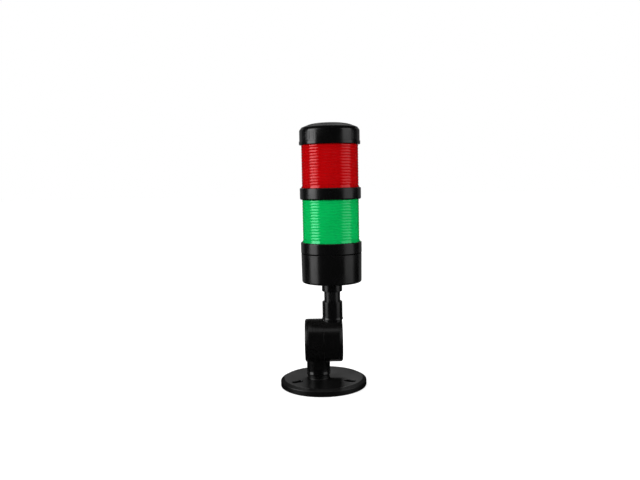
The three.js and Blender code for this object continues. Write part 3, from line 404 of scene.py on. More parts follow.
def spread(tree, value, low, high, to_low=0.0, to_high=1.0):
    """A Map Range node from low..high to to_low..to_high, held at the ends."""
    node = tree.nodes.new("ShaderNodeMapRange")
    node.clamp = True
    sources = (value, low, high, to_low, to_high)
    for socket, source in zip(node.inputs[:5], sources):
        if isinstance(source, bpy.types.NodeSocket):
            tree.links.new(source, socket)
        else:
            socket.default_value = source
    return node.outputs[0]


def mould_grain_group():
    """Fine spark-eroded grain, with patches where the mould has polished it."""
    group, start, end = new_group(
        "Mould grain",
        [("Grains per metre", 4000.0), ("Roughness", 0.3), ("Roughness change", 0.08)],
        ["Height", "Roughness"])
    fine = noise(group, start.outputs["Grains per metre"], 4.0, 0.6)
    patches = noise(group, 60.0, 2.0)
    change = arithmetic(group, "MULTIPLY", start.outputs["Roughness change"],
                        spread(group, patches, 0.3, 0.7, -1.0, 1.0))
    rough = arithmetic(group, "ADD", start.outputs["Roughness"], change, clamp=True)
    group.links.new(fine, end.inputs["Height"])
    group.links.new(rough, end.inputs["Roughness"])
    return group


def edge_wear_group():
    """Where corners have been rubbed: a bevelled normal differs from the true one there."""
    group, start, end = new_group(
        "Edge wear", [("Width", 0.0004), ("Strength", 0.5), ("Patches per metre", 300.0)], ["Mask"])
    bevel = group.nodes.new("ShaderNodeBevel")
    bevel.samples = 4
    group.links.new(start.outputs["Width"], bevel.inputs["Radius"])
    true_normal = group.nodes.new("ShaderNodeNewGeometry").outputs["Normal"]
    dot = group.nodes.new("ShaderNodeVectorMath")
    dot.operation = "DOT_PRODUCT"
    group.links.new(bevel.outputs["Normal"], dot.inputs[0])
    group.links.new(true_normal, dot.inputs[1])
    edge = spread(group, dot.outputs["Value"], 0.97, 0.75)
    patches = spread(group, noise(group, start.outputs["Patches per metre"], 4.0), 0.42, 0.62)
    mask = arithmetic(group, "MULTIPLY", arithmetic(group, "MULTIPLY", edge, patches),
                      start.outputs["Strength"], clamp=True)
    group.links.new(mask, end.inputs["Mask"])
    return group


def settled_dust_group():
    """Thin dust on whatever faces up, in soft patches with single specks."""
    group, start, end = new_group(
        "Settled dust", [("Amount", 0.1), ("Specks per metre", 2500.0)], ["Mask"])
    facing = group.nodes.new("ShaderNodeSeparateXYZ")
    group.links.new(group.nodes.new("ShaderNodeNewGeometry").outputs["Normal"], facing.inputs[0])
    upwards = spread(group, facing.outputs["Z"], 0.4, 1.0)
    film = spread(group, noise(group, 90.0, 3.0), 0.35, 0.75, 0.2, 0.6)
    specks = spread(group, noise(group, start.outputs["Specks per metre"], 2.0), 0.68, 0.74)
    cover = arithmetic(group, "ADD", film, specks, clamp=True)
    mask = arithmetic(group, "MULTIPLY", arithmetic(group, "MULTIPLY", upwards, cover),
                      start.outputs["Amount"], clamp=True)
    group.links.new(mask, end.inputs["Mask"])
    return group


def plating_group():
    """Cloudy plating with fine drawn lines along the work."""
    group, start, end = new_group(
        "Plating", [("Clouds per metre", 250.0), ("Roughness", 0.3), ("Lines", 0.1)],
        ["Cloud", "Roughness", "Height"])
    clouds = noise(group, start.outputs["Clouds per metre"], 5.0, 0.6)
    lines = noise(group, 900.0, 2.0, 0.5, stretch=(6.0, 0.6, 6.0))
    rough = arithmetic(group, "MULTIPLY_ADD", clouds, start.outputs["Lines"],
                       start.outputs["Roughness"], clamp=True)
    group.links.new(spread(group, clouds, 0.35, 0.7), end.inputs["Cloud"])
    group.links.new(rough, end.inputs["Roughness"])
    drawn = arithmetic(group, "MULTIPLY", lines, start.outputs["Lines"])
    group.links.new(drawn, end.inputs["Height"])
    return group


mould_grain = mould_grain_group()
edge_wear = edge_wear_group()
settled_dust = settled_dust_group()
plating = plating_group()


# ---- Finishes ----------------------------------------------------------------------------------

DUST_COLOUR = (0.35, 0.33, 0.30)
LENS_DUST_COLOUR = (0.6, 0.58, 0.55)
PLASTIC_IOR = 1.5
LENS_IOR = 1.55
PLATING_LINES = 0.12
PLATING_DEPTH = 0.004


def placed(tree, group, **values):
    """A group node with its own values; an underscore in a name stands for a space."""
    node = tree.nodes.new("ShaderNodeGroup")
    node.node_tree = group
    for name, value in values.items():
        node.inputs[name.replace("_", " ")].default_value = value
    return node


def mixed(tree, mask, first, second):
    """First colour where the mask is 0, second where it is 1. A colour is a socket or a triple."""
    node = tree.nodes.new("ShaderNodeMix")
    node.data_type = "RGBA"
    tree.links.new(mask, node.inputs["Factor"])
    for socket, colour in ((node.inputs[6], first), (node.inputs[7], second)):
        if isinstance(colour, bpy.types.NodeSocket):
            tree.links.new(colour, socket)
        else:
            socket.default_value = (*colour, 1.0)
    return node.outputs[2]


def bumped(tree, height, depth):
    """A Bump node for a height that is depth millimetres deep."""
    node = tree.nodes.new("ShaderNodeBump")
    node.inputs["Strength"].default_value = 1.0
    node.inputs["Distance"].default_value = depth * MM
    tree.links.new(height, node.inputs["Height"])
    return node.outputs["Normal"]


def new_finish(name):
    material = bpy.data.materials.new(name)
    material.use_nodes = True
    return material, material.node_tree, material.node_tree.nodes["Principled BSDF"]


def moulded(name, colour, worn, roughness, change=0.06, grain=4500.0, depth=0.002, wear=0.3,
            dust=0.03):
    """Moulded plastic or rubber: grain, rubbed corners and a little dust."""
    material, tree, shader = new_finish(name)
    surface = placed(tree, mould_grain, Grains_per_metre=grain, Roughness=roughness,
                     Roughness_change=change)
    rubbed = placed(tree, edge_wear, Strength=wear)
    dusty = placed(tree, settled_dust, Amount=dust)
    body = mixed(tree, rubbed.outputs["Mask"], colour, worn)
    tree.links.new(mixed(tree, dusty.outputs["Mask"], body, DUST_COLOUR),
                   shader.inputs["Base Color"])
    rough = arithmetic(tree, "ADD", surface.outputs["Roughness"], dusty.outputs["Mask"],
                       clamp=True)
    tree.links.new(rough, shader.inputs["Roughness"])
    tree.links.new(bumped(tree, surface.outputs["Height"], depth), shader.inputs["Normal"])
    shader.inputs["IOR"].default_value = PLASTIC_IOR
    return material


def metal(name, colour, cloud_colour, roughness):
    """Plated, blackened or bare metal."""
    material, tree, shader = new_finish(name)
    surface = placed(tree, plating, Roughness=roughness, Lines=PLATING_LINES)
    dusty = placed(tree, settled_dust, Amount=0.05)
    body = mixed(tree, surface.outputs["Cloud"], colour, cloud_colour)
    tree.links.new(mixed(tree, dusty.outputs["Mask"], body, DUST_COLOUR),
                   shader.inputs["Base Color"])
    tree.links.new(surface.outputs["Roughness"], shader.inputs["Roughness"])
    tree.links.new(bumped(tree, surface.outputs["Height"], PLATING_DEPTH), shader.inputs["Normal"])
    shader.inputs["Metallic"].default_value = 1.0
    return material


def lens_plastic(name, colour, thin_colour, gloss_tint):
    """Coloured clear plastic, a little deeper in some places where the melt met."""
    material, tree, shader = new_finish(name)
    surface = placed(tree, mould_grain, Grains_per_metre=900.0, Roughness=0.13,
                     Roughness_change=0.03)
    dusty = placed(tree, settled_dust, Amount=0.03)
    melt = spread(tree, noise(tree, 45.0, 2.0), 0.3, 0.7)
    body = mixed(tree, melt, colour, thin_colour)
    tree.links.new(mixed(tree, dusty.outputs["Mask"], body, LENS_DUST_COLOUR),
                   shader.inputs["Base Color"])
    tree.links.new(surface.outputs["Roughness"], shader.inputs["Roughness"])
    tree.links.new(bumped(tree, surface.outputs["Height"], 0.002), shader.inputs["Normal"])
    shader.inputs["Transmission Weight"].default_value = 0.35
    shader.inputs["IOR"].default_value = LENS_IOR
    shader.inputs["Specular IOR Level"].default_value = 0.9
    shader.inputs["Specular Tint"].default_value = (*gloss_tint, 1.0)
    shader.inputs["Coat Weight"].default_value = 0.4
    shader.inputs["Coat Roughness"].default_value = 0.06
    return material


finishes = {
    "black_plastic": moulded("Black moulded plastic", (0.002, 0.002, 0.0021),
                             (0.02, 0.02, 0.021), 0.23),
    "black_plate": moulded("Black satin plate", (0.0018, 0.0018, 0.0019), (0.03, 0.03, 0.031),
                           0.38, change=0.03, grain=2600.0, wear=0.25, dust=0.01),
    "inner_plastic": moulded("Dark grey inner plastic", (0.012, 0.012, 0.013),
                             (0.03, 0.03, 0.03), 0.5),
    "red_lens": lens_plastic("Red lens plastic", (0.515, 0.0012, 0.0025),
                             (0.57, 0.0016, 0.0033), (1.0, 0.05, 0.07)),
    "green_lens": lens_plastic("Green lens plastic", (0.0012, 0.52, 0.107),
                               (0.0016, 0.575, 0.125), (0.1, 1.0, 0.55)),
    "rubber_seal": moulded("Black rubber", (0.008, 0.008, 0.008), (0.02, 0.02, 0.02), 0.75,
                           grain=3000.0, depth=0.006),
    "zinc_steel": metal("Zinc plated steel", (0.62, 0.63, 0.66), (0.52, 0.53, 0.56), 0.28),
    "black_steel": metal("Black oxide steel", (0.020, 0.020, 0.022), (0.032, 0.031, 0.031), 0.34),
    "black_pole": moulded("Black coated tube", (0.004, 0.004, 0.0042), (0.2, 0.2, 0.21), 0.27,
                          grain=1800.0, depth=0.004, wear=0.4),
    "acetal": moulded("White acetal", (0.78, 0.77, 0.73), (0.6, 0.59, 0.56), 0.4),
    "brass": metal("Tinned brass", (0.66, 0.50, 0.22), (0.55, 0.40, 0.17), 0.27),
    "circuit_board": moulded("White solder mask", (0.74, 0.75, 0.72), (0.55, 0.56, 0.5), 0.35,
                             grain=1500.0, depth=0.01),
    "led_resin": moulded("Clear lamp resin", (0.86, 0.84, 0.66), (0.8, 0.8, 0.7), 0.15, depth=0.0),
    "terminal_plastic": moulded("Green terminal plastic", (0.02, 0.16, 0.05),
                                (0.05, 0.22, 0.09), 0.45),
}


# ---- Fitting a finished piece into the frame ---------------------------------------------------

def fit(piece, body, finish, *nodes, sharp=32):
    """Scales a piece to metres, gives it its finish and puts it on its body for its CAD nodes."""
    piece.data.transform(Matrix.Scale(MM, 4))
    piece.data.materials.clear()
    piece.data.materials.append(finishes[finish])
    piece.data.shade_smooth()
    piece.data.set_sharp_from_angle(angle=math.radians(sharp))
    even = piece.modifiers.new("Even shading", "WEIGHTED_NORMAL")
    even.keep_sharp = True
    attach(piece, body)
    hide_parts(*nodes)
    return piece


def keep(node, finish, edge=0.12):
    """A CAD node that stays shown: its finish, and small rounded edges."""
    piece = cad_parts[node]
    piece.data.materials.clear()
    piece.data.materials.append(finishes[finish])
    weld = piece.modifiers.new("Weld", "WELD")
    weld.merge_threshold = 1e-6
    if edge:
        bevel = piece.modifiers.new("Edges", "BEVEL")
        bevel.width = edge * MM
        bevel.segments = 2
        bevel.limit_method = "ANGLE"
        bevel.angle_limit = math.radians(40)


# ---- Plate and its screws ----------------------------------------------------------------------

screw_places = [(STEM_X + SCREW_CIRCLE_RADIUS * math.cos(math.radians(angle)),
                 SCREW_CIRCLE_RADIUS * math.sin(math.radians(angle))) for angle in SCREW_ANGLES]


def round_plate():
    """The plate with its boss, three radial slots, the cable's way and the screws' seats."""
    plate = turned("round_plate", rounded([
        (0, 0),
        (PLATE_RADIUS, 0, 0.5),
        (PLATE_RADIUS, PLATE_EDGE_HEIGHT, 0.8),
        (PLATE_FLAT_RADIUS, PLATE_THICKNESS, 0.7),
        (0, PLATE_THICKNESS),
    ]), sides=192)
    boss = turned("boss", rounded([
        (0, PLATE_THICKNESS - 1),
        (BOSS_RADIUS + 0.8, PLATE_THICKNESS - 1),
        (BOSS_RADIUS + 0.8, PLATE_THICKNESS - STEP),
        (BOSS_RADIUS, PLATE_THICKNESS - STEP, 0.6),
        (BOSS_RADIUS, BOSS_TOP, 0.3),
        (0, BOSS_TOP),
    ]), upright(STEM_X))
    merge(plate, boss)
    for angle in SLOT_ANGLES:
        place = Matrix.Rotation(math.radians(angle), 4, "Z") @ upright(SLOT_CENTRE_RADIUS)
        rings = [slot_ring(SLOT_LENGTH, SLOT_WIDTH, grow, height) for grow, height in (
            (0.9, -0.5), (0.4, 0.0), (0.0, 0.4), (0.0, PLATE_THICKNESS - 0.4),
            (0.05, PLATE_THICKNESS - 0.2), (0.2, PLATE_THICKNESS), (0.7, PLATE_THICKNESS + 0.5))]
        carve(plate, stacked("slot", rings, place))
    carve(plate, rod("cable way", CABLE_RADIUS, -1, BOSS_TOP + 1, upright(CABLE_X), 64))
    for x, y in screw_places:
        carve(plate, rod("screw seat", SCREW_SEAT_RADIUS, -1, SCREW_SEAT_TOP, upright(x, y), 40))
        carve(plate, rod("screw hole", SCREW_HOLE_RADIUS, -1, BOSS_TOP + 1, upright(x, y), 32))
    return fit(plate, "base", "black_plate", "base_plate")


def plate_screw(number, x, y):
    """A screw driven up from under the plate, with a cross recess in its head."""
    head, head_height, shank, length = 2.8, 2.0, 1.5, 18.0
    screw = turned(f"plate_screw_{number}_fine", rounded([
        (0, 0), (head, 0, 0.9), (head, head_height, 0.15), (shank, head_height),
        (shank, length - 0.6), (shank - 0.5, length), (0, length),
    ]), upright(x, y, SCREW_HEAD_BOTTOM), 48)
    recess = []
    for end, side, z in ((1.9, 0.44, -0.6), (1.65, 0.38, 0.3), (0.9, 0.3, 1.2)):
        recess.append([(x_at, y_at, z) for x_at, y_at in (
            (end, -side), (end, side), (side, side), (side, end), (-side, end), (-side, side),
            (-end, side), (-end, -side), (-side, -side), (-side, -end), (side, -end),
            (side, -side))])
    turn = Matrix.Rotation(math.radians(20 * number), 4, "Z")
    place = upright(x, y, SCREW_HEAD_BOTTOM) @ turn
    carve(screw, stacked("cross recess", recess, place))
    return fit(screw, "base", "zinc_steel", f"plate_screw_{number}")


round_plate()
for index, (screw_x, screw_y) in enumerate(screw_places, 1):
    plate_screw(index, screw_x, screw_y)


# ---- Knuckle -----------------------------------------------------------------------------------

def drum_outline(grooves):
    """One half drum from the hinge face outwards, with its seats for washer and seal."""
    side = [(DRUM_RADIUS, -RIM_REACH, 0.06)]
    groove_floor, half_top, half_floor = DRUM_RADIUS - 0.18, 0.22, 0.08
    for middle in grooves:
        side += [(DRUM_RADIUS, middle - half_top), (groove_floor, middle - half_floor),
                 (groove_floor, middle + half_floor), (DRUM_RADIUS, middle + half_top)]
    return rounded([
        (PIVOT_BORE, WASHER_SEAT_DEPTH), (WASHER_SEAT_RADIUS, WASHER_SEAT_DEPTH),
        (WASHER_SEAT_RADIUS, 0), (RING_SEAT_INNER_RADIUS, 0),
        (RING_SEAT_INNER_RADIUS, RING_SEAT_DEPTH), (RING_SEAT_OUTER_RADIUS, RING_SEAT_DEPTH),
        (RING_SEAT_OUTER_RADIUS, -RIM_REACH),
        *side,
        (DRUM_RADIUS, DRUM_LENGTH, 0.3),
        (DRUM_INNER_RADIUS, DRUM_LENGTH), (DRUM_INNER_RADIUS, DRUM_FACE), (PIVOT_BORE, DRUM_FACE),
    ])


def half_drum(name, side, spoke, bores, grooves):
    """A half drum with its spoke joined on, then hollowed and bored."""
    place = outward(side)
    drum = turned(name, drum_outline(grooves), place, 192)
    carve(spoke, rod("past the face", DRUM_RADIUS + HINGE_GAP, -24, 0.0, place))
    carve(spoke, rod("cover room", DRUM_RADIUS + FIT_GAP, DRUM_LENGTH, 34, place))
    carve(spoke, rod("drum hollow", DRUM_INNER_RADIUS + 1.2, -1, DRUM_LENGTH + 1, place))
    merge(drum, spoke)
    middle = 0 if side < 0 else 180
    window = [sector_ring(WINDOW_INNER_RADIUS, WINDOW_OUTER_RADIUS, middle - WINDOW_HALF_SWEEP,
                          middle + WINDOW_HALF_SWEEP, z) for z in (-1, DRUM_FACE + 1)]
    carve(drum, stacked("cable window", window, place), *bores)
    return drum


def lower_half():
    """Stem and left half drum; a short skirt on the stem reaches down round the boss."""
    foot = lower_low.z - SKIRT_DROP
    skirt_bore, wall = BOSS_RADIUS + 0.15, STEM_RADIUS - 0.4
    stem = turned("stem", rounded([
        (0, lower_low.z), (skirt_bore, lower_low.z), (skirt_bore, foot),
        (STEM_RADIUS, foot, 0.5), (STEM_RADIUS, foot + 0.9, 0.3), (wall, foot + 2.9, 0.8),
        (wall, HINGE_Z), (0, HINGE_Z),
    ]), upright(STEM_X))
    cable_top, thread_top = HINGE_Z - DRUM_INNER_RADIUS + 2.4, 18.8
    bores = [rod("cable way", CABLE_RADIUS, lower_low.z - 1, cable_top, upright(CABLE_X), 64)]
    bores += [rod("screw hole", SCREW_HOLE_RADIUS, lower_low.z - 1, thread_top, upright(x, y), 32)
              for x, y in screw_places]
    drum = half_drum("lower_half_drum", -1, stem, bores, (4.55, 6.55, 8.95))
    return fit(drum, "base", "black_plastic", "lower_knuckle")


def upper_half():
    """Right half drum and pole sleeve, with the set screw's pad at the back."""
    flare = HINGE_Z + DRUM_RADIUS + 0.5
    sleeve = turned("sleeve", rounded([
        (0, HINGE_Z), (SLEEVE_RADIUS + 0.4, HINGE_Z), (SLEEVE_RADIUS + 0.4, flare, 0.2),
        (SLEEVE_RADIUS, flare + 1.0, 0.8), (SLEEVE_RADIUS, SLEEVE_TOP, 0.6), (0, SLEEVE_TOP),
    ]), upright(LAMP_X))
    towards_back = out_the_back(SET_SCREW_HEIGHT)
    pad = turned("pad", rounded([
        (0, 0), (PAD_RADIUS, 0), (PAD_RADIUS, PAD_REACH, 0.4), (0, PAD_REACH),
    ]), towards_back, 64)
    merge(sleeve, pad)
    bores = [
        rod("pole bore", POLE_BORE_RADIUS, POLE_SEAT, SLEEVE_TOP + 1, upright(LAMP_X), 96),
        rod("cable way", POLE_INNER_RADIUS, HINGE_Z + DRUM_INNER_RADIUS - 1.2, POLE_SEAT + 1,
            upright(LAMP_X), 96),
        rod("set screw hole", 2.05, 0, PAD_REACH + 1, towards_back, 32),
    ]
    drum = half_drum("upper_half_drum", 1, sleeve, bores, ())
    return fit(drum, "arm", "black_plastic", "upper_knuckle")


def knuckle_cover(name, side, pocket_radius, pocket_floor):
    """An end cover: a rounded disc with a spigot, and a tube that carries the hardware."""
    return turned(name, rounded([
        (pocket_radius, COVER_END, 0.25),
        (DRUM_RADIUS, COVER_END, 2.0),
        (DRUM_RADIUS, COVER_START, 0.25),
        (COVER_SPIGOT_RADIUS, COVER_START), (COVER_SPIGOT_RADIUS, COVER_SPIGOT_END),
        (COVER_SPIGOT_INNER_RADIUS, COVER_SPIGOT_END), (COVER_SPIGOT_INNER_RADIUS, COVER_START),
        (COVER_TUBE_RADIUS, COVER_START), (COVER_TUBE_RADIUS, DRUM_FACE + SEAT_GAP),
        (PIVOT_BORE, DRUM_FACE + SEAT_GAP),
        (PIVOT_BORE, pocket_floor), (pocket_radius, pocket_floor),
    ], 8), outward(side), 192)


def pivot_screw():
    """The hinge's button head screw, with a hex recess."""
    head, end = screw_low.x, screw_high.x
    head_radius, head_height, shank = 4.3, 2.6, 2.5
    place = along_hinge()
    screw = turned("pivot_screw_fine", rounded([
        (0, head), (2.5, head, 1.5), (4.25, head + 1.0, 0.9),
        (head_radius, head + head_height, 0.1), (shank, head + head_height),
        (shank, end - 0.5), (shank - 0.4, end), (0, end),
    ], 7), place, 96)
    recess = [hexagon_ring(PIVOT_KEY_SIZE / math.sqrt(3) + grow, z, start=15) for grow, z in (
        (0.35, head - 0.3), (0.2, head), (0.0, head + 0.2), (0.0, head + 1.4))]
    carve(screw, stacked("hex recess", recess, place))
    return fit(screw, "base", "black_steel", "pivot_screw")


def pivot_hardware():
    """Washers, drum seal and nut, all on the pivot screw's axis."""
    place = along_hinge()

    def washer(name, node, finish, outer):
        low, high = span(node)
        ring = turned(name, rounded([
            (PIVOT_BORE, low.x, 0.1), (outer, low.x, 0.15),
            (outer, high.x, 0.15), (PIVOT_BORE, high.x, 0.1),
        ], 3), place, 72)
        if node == "spring_washer":
            middle = Matrix.Translation(((low.x + high.x) / 2, 0, HINGE_Z))
            gap = middle @ Matrix.Rotation(math.radians(20), 4, "X")
            across, half_gap = 1.4, 0.45
            split = [[(x, y, z) for x, y in ((-across, -half_gap), (across, -half_gap),
                                             (across, half_gap), (-across, half_gap))]
                     for z in (0.5, 6.5)]
            carve(ring, stacked("split", split, gap))
        fit(ring, "base", finish, node)

    washer("pivot_washer_fine", "pivot_washer", "zinc_steel", 4.9)
    washer("spring_washer_fine", "spring_washer", "zinc_steel", 4.9)
    washer("friction_washer_fine", "friction_washer", "acetal", 7.0)
    low, high = seal_low.x, seal_high.x
    seal = turned("knuckle_seal_fine", rounded([
        (14.85, low, 0.4), (16.35, low, 0.4), (16.35, high, 0.4), (14.85, high, 0.4),
    ]), place, 160)
    fit(seal, "base", "rubber_seal", "knuckle_seal")
    corner = NUT_SIZE / math.sqrt(3)
    ends = [hexagon_ring(corner, z) for z in (nut_low.x, nut_high.x)]
    nut = stacked("pivot_nut_fine", ends, place)
    bevelled = turned("nut bevel", [
        (0, nut_low.x - 0.01), (3.7, nut_low.x - 0.01), (corner + 0.05, nut_low.x + 0.55),
        (corner + 0.05, nut_high.x - 0.55), (3.7, nut_high.x + 0.01), (0, nut_high.x + 0.01),
    ], place, 96)
    combined(nut, bevelled, "INTERSECT")
    carve(nut, turned("nut bore", [
        (0, nut_low.x - 1), (PIVOT_BORE + 0.75, nut_low.x - 0.5), (PIVOT_BORE, nut_low.x + 0.25),
        (PIVOT_BORE, nut_high.x - 0.25), (PIVOT_BORE + 0.75, nut_high.x + 0.5), (0, nut_high.x + 1),
    ], place, 72))
    fit(nut, "base", "zinc_steel", "pivot_nut")


lower_half()
upper_half()
fit(knuckle_cover("lower_cover_fine", -1, pocket_radius=4.6, pocket_floor=13.2),
    "base", "black_plastic", "lower_cover")
fit(knuckle_cover("upper_cover_fine", 1, pocket_radius=5.3, pocket_floor=9.1),
    "arm", "black_plastic", "upper_cover")
pivot_screw()
pivot_hardware()


# ---- Pole and housing --------------------------------------------------------------------------

def pole():
    tube = turned("pole_tube", rounded([
        (POLE_INNER_RADIUS, pole_low.z, 0.3), (POLE_RADIUS, pole_low.z, 0.3),
        (POLE_RADIUS, pole_high.z, 0.3), (POLE_INNER_RADIUS, pole_high.z, 0.3),
    ], 3), upright(LAMP_X), 96)
    fit(tube, "arm", "black_pole", "pole")


def set_screw():
    """The grub screw that holds the pole in its sleeve."""
    place = out_the_back(SET_SCREW_HEIGHT)
    start = POLE_RADIUS + SEAT_GAP
    end = start + SET_SCREW_LENGTH
    screw = turned("pole_set_screw_fine", rounded([
        (0, start), (1.3, start), (1.9, start + 0.5), (1.9, end, 0.25), (0, end),
    ]), place, 48)
    recess = [hexagon_ring(1.15 + grow, z) for grow, z in (
        (0.0, start + 1.5), (0.0, start + 2.85), (0.2, start + 3.05), (0.3, start + 3.3))]
    carve(screw, stacked("hex recess", recess, place))
    fit(screw, "arm", "black_steel", "pole_set_screw")


def housing():
    """The black cup under the lamps, with its socket for the pole."""
    shell = turned("lamp_housing", rounded([
        (POLE_BORE_RADIUS, housing_low.z), (SOCKET_RADIUS, housing_low.z, 0.5),
        (SOCKET_RADIUS, HOUSING_BOTTOM, 0.5),
        (HOUSING_FOOT_RADIUS, HOUSING_BOTTOM, 1.6), (HOUSING_RADIUS, housing_high.z, 0.3),
        (DECK_RADIUS, housing_high.z), (DECK_RADIUS, DECK_SEAT),
        (HOUSING_INNER_RADIUS, DECK_SEAT), (HOUSING_INNER_RADIUS, FLOOR_TOP, 0.8),
        (POLE_BORE_RADIUS, FLOOR_TOP),
    ], 7), upright(LAMP_X), 192)
    fit(shell, "arm", "black_plastic", "base_housing")


pole()
set_screw()
housing()


# ---- Lamp modules ------------------------------------------------------------------------------

def within(angle, middle, half):
    return abs((angle - middle + 180) % 360 - 180) <= half


def socket_side(angle):
    """The hollow that a neck twists into, from the rim upwards, at one angle."""
    notch = any(within(angle, lug - TWIST, LUG_SWEEP / 2 + 0.8) for lug in LUG_ANGLES)
    stop = any(within(angle, lug + STOP_OFFSET, STOP_HALF_SWEEP)
               or within(angle, lug - TWIST - STOP_OFFSET, STOP_HALF_SWEEP)
               for lug in LUG_ANGLES)
    flange = ROOM_RADIUS if notch else FLANGE_RADIUS
    room = FLANGE_RADIUS if stop else ROOM_RADIUS
    return [(ROOM_RADIUS, 0), (ROOM_RADIUS, SEAL_SEAT), (flange, SEAL_SEAT + STEP),
            (flange, FLANGE_TOP), (room, FLANGE_TOP + STEP), (room, SOCKET_DEPTH)]


def collar(colour, base):
    """A black ring: the lens stands in its top, and its lower side is a bayonet socket."""
    outside = rounded([
        (ROOM_RADIUS, 0), (COLLAR_RADIUS, 0, 1.1), (COLLAR_RADIUS, COLLAR_HEIGHT, 0.8),
        (COLLAR_MOUTH_RADIUS, COLLAR_HEIGHT), (COLLAR_MOUTH_RADIUS, WEB_TOP),
        (WEB_HOLE_RADIUS, WEB_TOP), (WEB_HOLE_RADIUS, SOCKET_DEPTH),
    ], 7)[1:]

    def outline(angle):
        return outside + socket_side(angle)[::-1]

    ring = turned(f"{colour}_collar_fine", outline, upright(LAMP_X, 0, base), 240)
    fit(ring, f"{colour}_module", "black_plastic", f"{colour}_collar")


def neck_side(angle, root):
    """The outside and the lip of a bayonet neck above height root, at one angle."""
    lug = any(within(angle, middle, LUG_SWEEP / 2) for middle in LUG_ANGLES)
    reach = LUG_RADIUS if lug else NECK_RADIUS
    rim, lip = root + NECK_HEIGHT, NECK_INNER_RADIUS - LIP_REACH
    return [(NECK_RADIUS, root), (NECK_RADIUS, root + LUG_BOTTOM - STEP),
            (reach, root + LUG_BOTTOM), (reach, root + LUG_TOP - 0.2),
            (max(NECK_RADIUS, reach - 0.2), root + LUG_TOP), (NECK_RADIUS, root + LUG_TOP + STEP),
            (NECK_RADIUS - 0.15, rim), (lip, rim), (lip, rim - 1), (NECK_INNER_RADIUS, rim - 1)]


def lens(colour, base):
    """A ribbed sleeve on a plain foot; the foot takes the place of the first rib's lower part."""
    pitch = LENS_HEIGHT / LENS_RIBS
    top = LENS_BASE + LENS_HEIGHT
    ribs = []
    for rib in range(LENS_RIBS):
        for k in range(RIB_STEPS):
            share = k / RIB_STEPS
            if rib == 0 and share < LENS_FOOT_SHARE:
                continue
            bulge = 1 - (2 * share - 1) ** 2
            ribs.append((LENS_RADIUS - RIB_DEPTH * (1 - bulge), LENS_BASE + pitch * (rib + share)))
    foot = LENS_RADIUS + LENS_FOOT_REACH
    body = [(LENS_INNER_RADIUS, WEB_TOP + SEAT_GAP), (LENS_SPIGOT_RADIUS, WEB_TOP + SEAT_GAP),
            (LENS_SPIGOT_RADIUS, LENS_BASE), (foot, LENS_BASE),
            (foot, LENS_BASE + LENS_FOOT_HEIGHT)]
    shoulder = rounded([(LENS_RADIUS - RIB_DEPTH, top - 0.5), (LENS_RADIUS - RIB_DEPTH, top, 0.3),
                        (NECK_RADIUS, top)], 3)[1:-1]
    inside = [(NECK_INNER_RADIUS, top - 1.7), (LENS_INNER_RADIUS, top - 3.4)]

    def outline(angle):
        return body + ribs + shoulder + neck_side(angle, top) + inside

    sleeve = turned(f"{colour}_lens_fine", outline, upright(LAMP_X, 0, base), 180)
    fit(sleeve, f"{colour}_module", f"{colour}_lens", f"{colour}_lens", sharp=28)


for module in ("green", "red"):
    module_base = span(f"{module}_collar")[0].z
    collar(module, module_base)
    lens(module, module_base)
    for part, part_finish, part_edge in (
        ("contact_base", "inner_plastic", 0.15), ("led_board", "circuit_board", 0.1),
        ("led_1", "led_resin", 0.15), ("led_2", "led_resin", 0.15),
        ("led_3", "led_resin", 0.15), ("led_4", "led_resin", 0.15),
        ("contact_pin_1", "brass", 0), ("contact_pin_2", "brass", 0),
        ("contact_pin_3", "brass", 0), ("top_board", "circuit_board", 0.1),
        ("bus_bar_1", "brass", 0.1), ("bus_bar_2", "brass", 0.1),
        ("seal", "rubber_seal", 0.1),
    ):
        keep(f"{module}_{part}", part_finish, part_edge)

for part, part_finish in (
    ("bayonet_deck", "inner_plastic"), ("base_board", "circuit_board"),
    ("terminal_block", "terminal_plastic"), ("pole_washer", "zinc_steel"),
    ("pole_nut", "zinc_steel"), ("cap_seal", "rubber_seal"),
):
    keep(part, part_finish)


# ---- Cap ---------------------------------------------------------------------------------------

def grip_depth(angle):
    """How deep the cap's side is grooved at one angle, in groups of fine upright grooves."""
    for middle in GRIP_MIDDLES:
        if within(angle, middle, GRIP_HALF_SWEEP):
            share = ((angle - middle + GRIP_START) % GRIP_PITCH) / GRIP_PITCH
            return GRIP_DEPTH * math.sin(math.pi * share) ** 2
    return 0.0


def cap():
    """The top cap: a lip, a gripped side, a shoulder, a ring groove and a low dome."""
    base = cap_low.z
    inside = [(22.0, SOCKET_DEPTH - STEP), (22.0, CAP_CEILING - 2), (20.0, CAP_CEILING)]
    groove_floor = 15.75
    crown = rounded([
        (CAP_RADIUS, 4.2), (CAP_RADIUS, 11.6, 2.2), (23.0, 13.9, 1.6), (17.2, 16.2, 0.25),
        (16.9, groove_floor, 0.12), (15.9, groove_floor, 0.12), (15.8, 16.6, 0.3),
        (11.5, CAP_HEIGHT - 0.1, 6.0), (0, CAP_HEIGHT),
    ], 5)[1:]

    def outline(angle):
        grip = grip_depth(angle)
        side = [(ROOM_RADIUS, 0)] + rounded([
            (0, 0), (CAP_LIP_RADIUS, 0, 0.35), (CAP_LIP_RADIUS, CAP_LIP_HEIGHT, 0.3),
            (0, CAP_LIP_HEIGHT)], 3)[1:-1]
        side += [(CAP_RADIUS, CAP_LIP_HEIGHT), (CAP_RADIUS - grip * 0.3, 3.1),
                 (CAP_RADIUS - grip, 3.8), (CAP_RADIUS - grip, 9.6),
                 (CAP_RADIUS - grip * 0.4, 10.2)]
        hollow = [(0, CAP_CEILING)] + inside[::-1] + socket_side(angle)[:0:-1]
        return hollow + side + crown

    top = turned("top_cap_fine", outline, upright(LAMP_X, 0, base), 720)
    fit(top, "cap", "black_plastic", "top_cap")


cap()


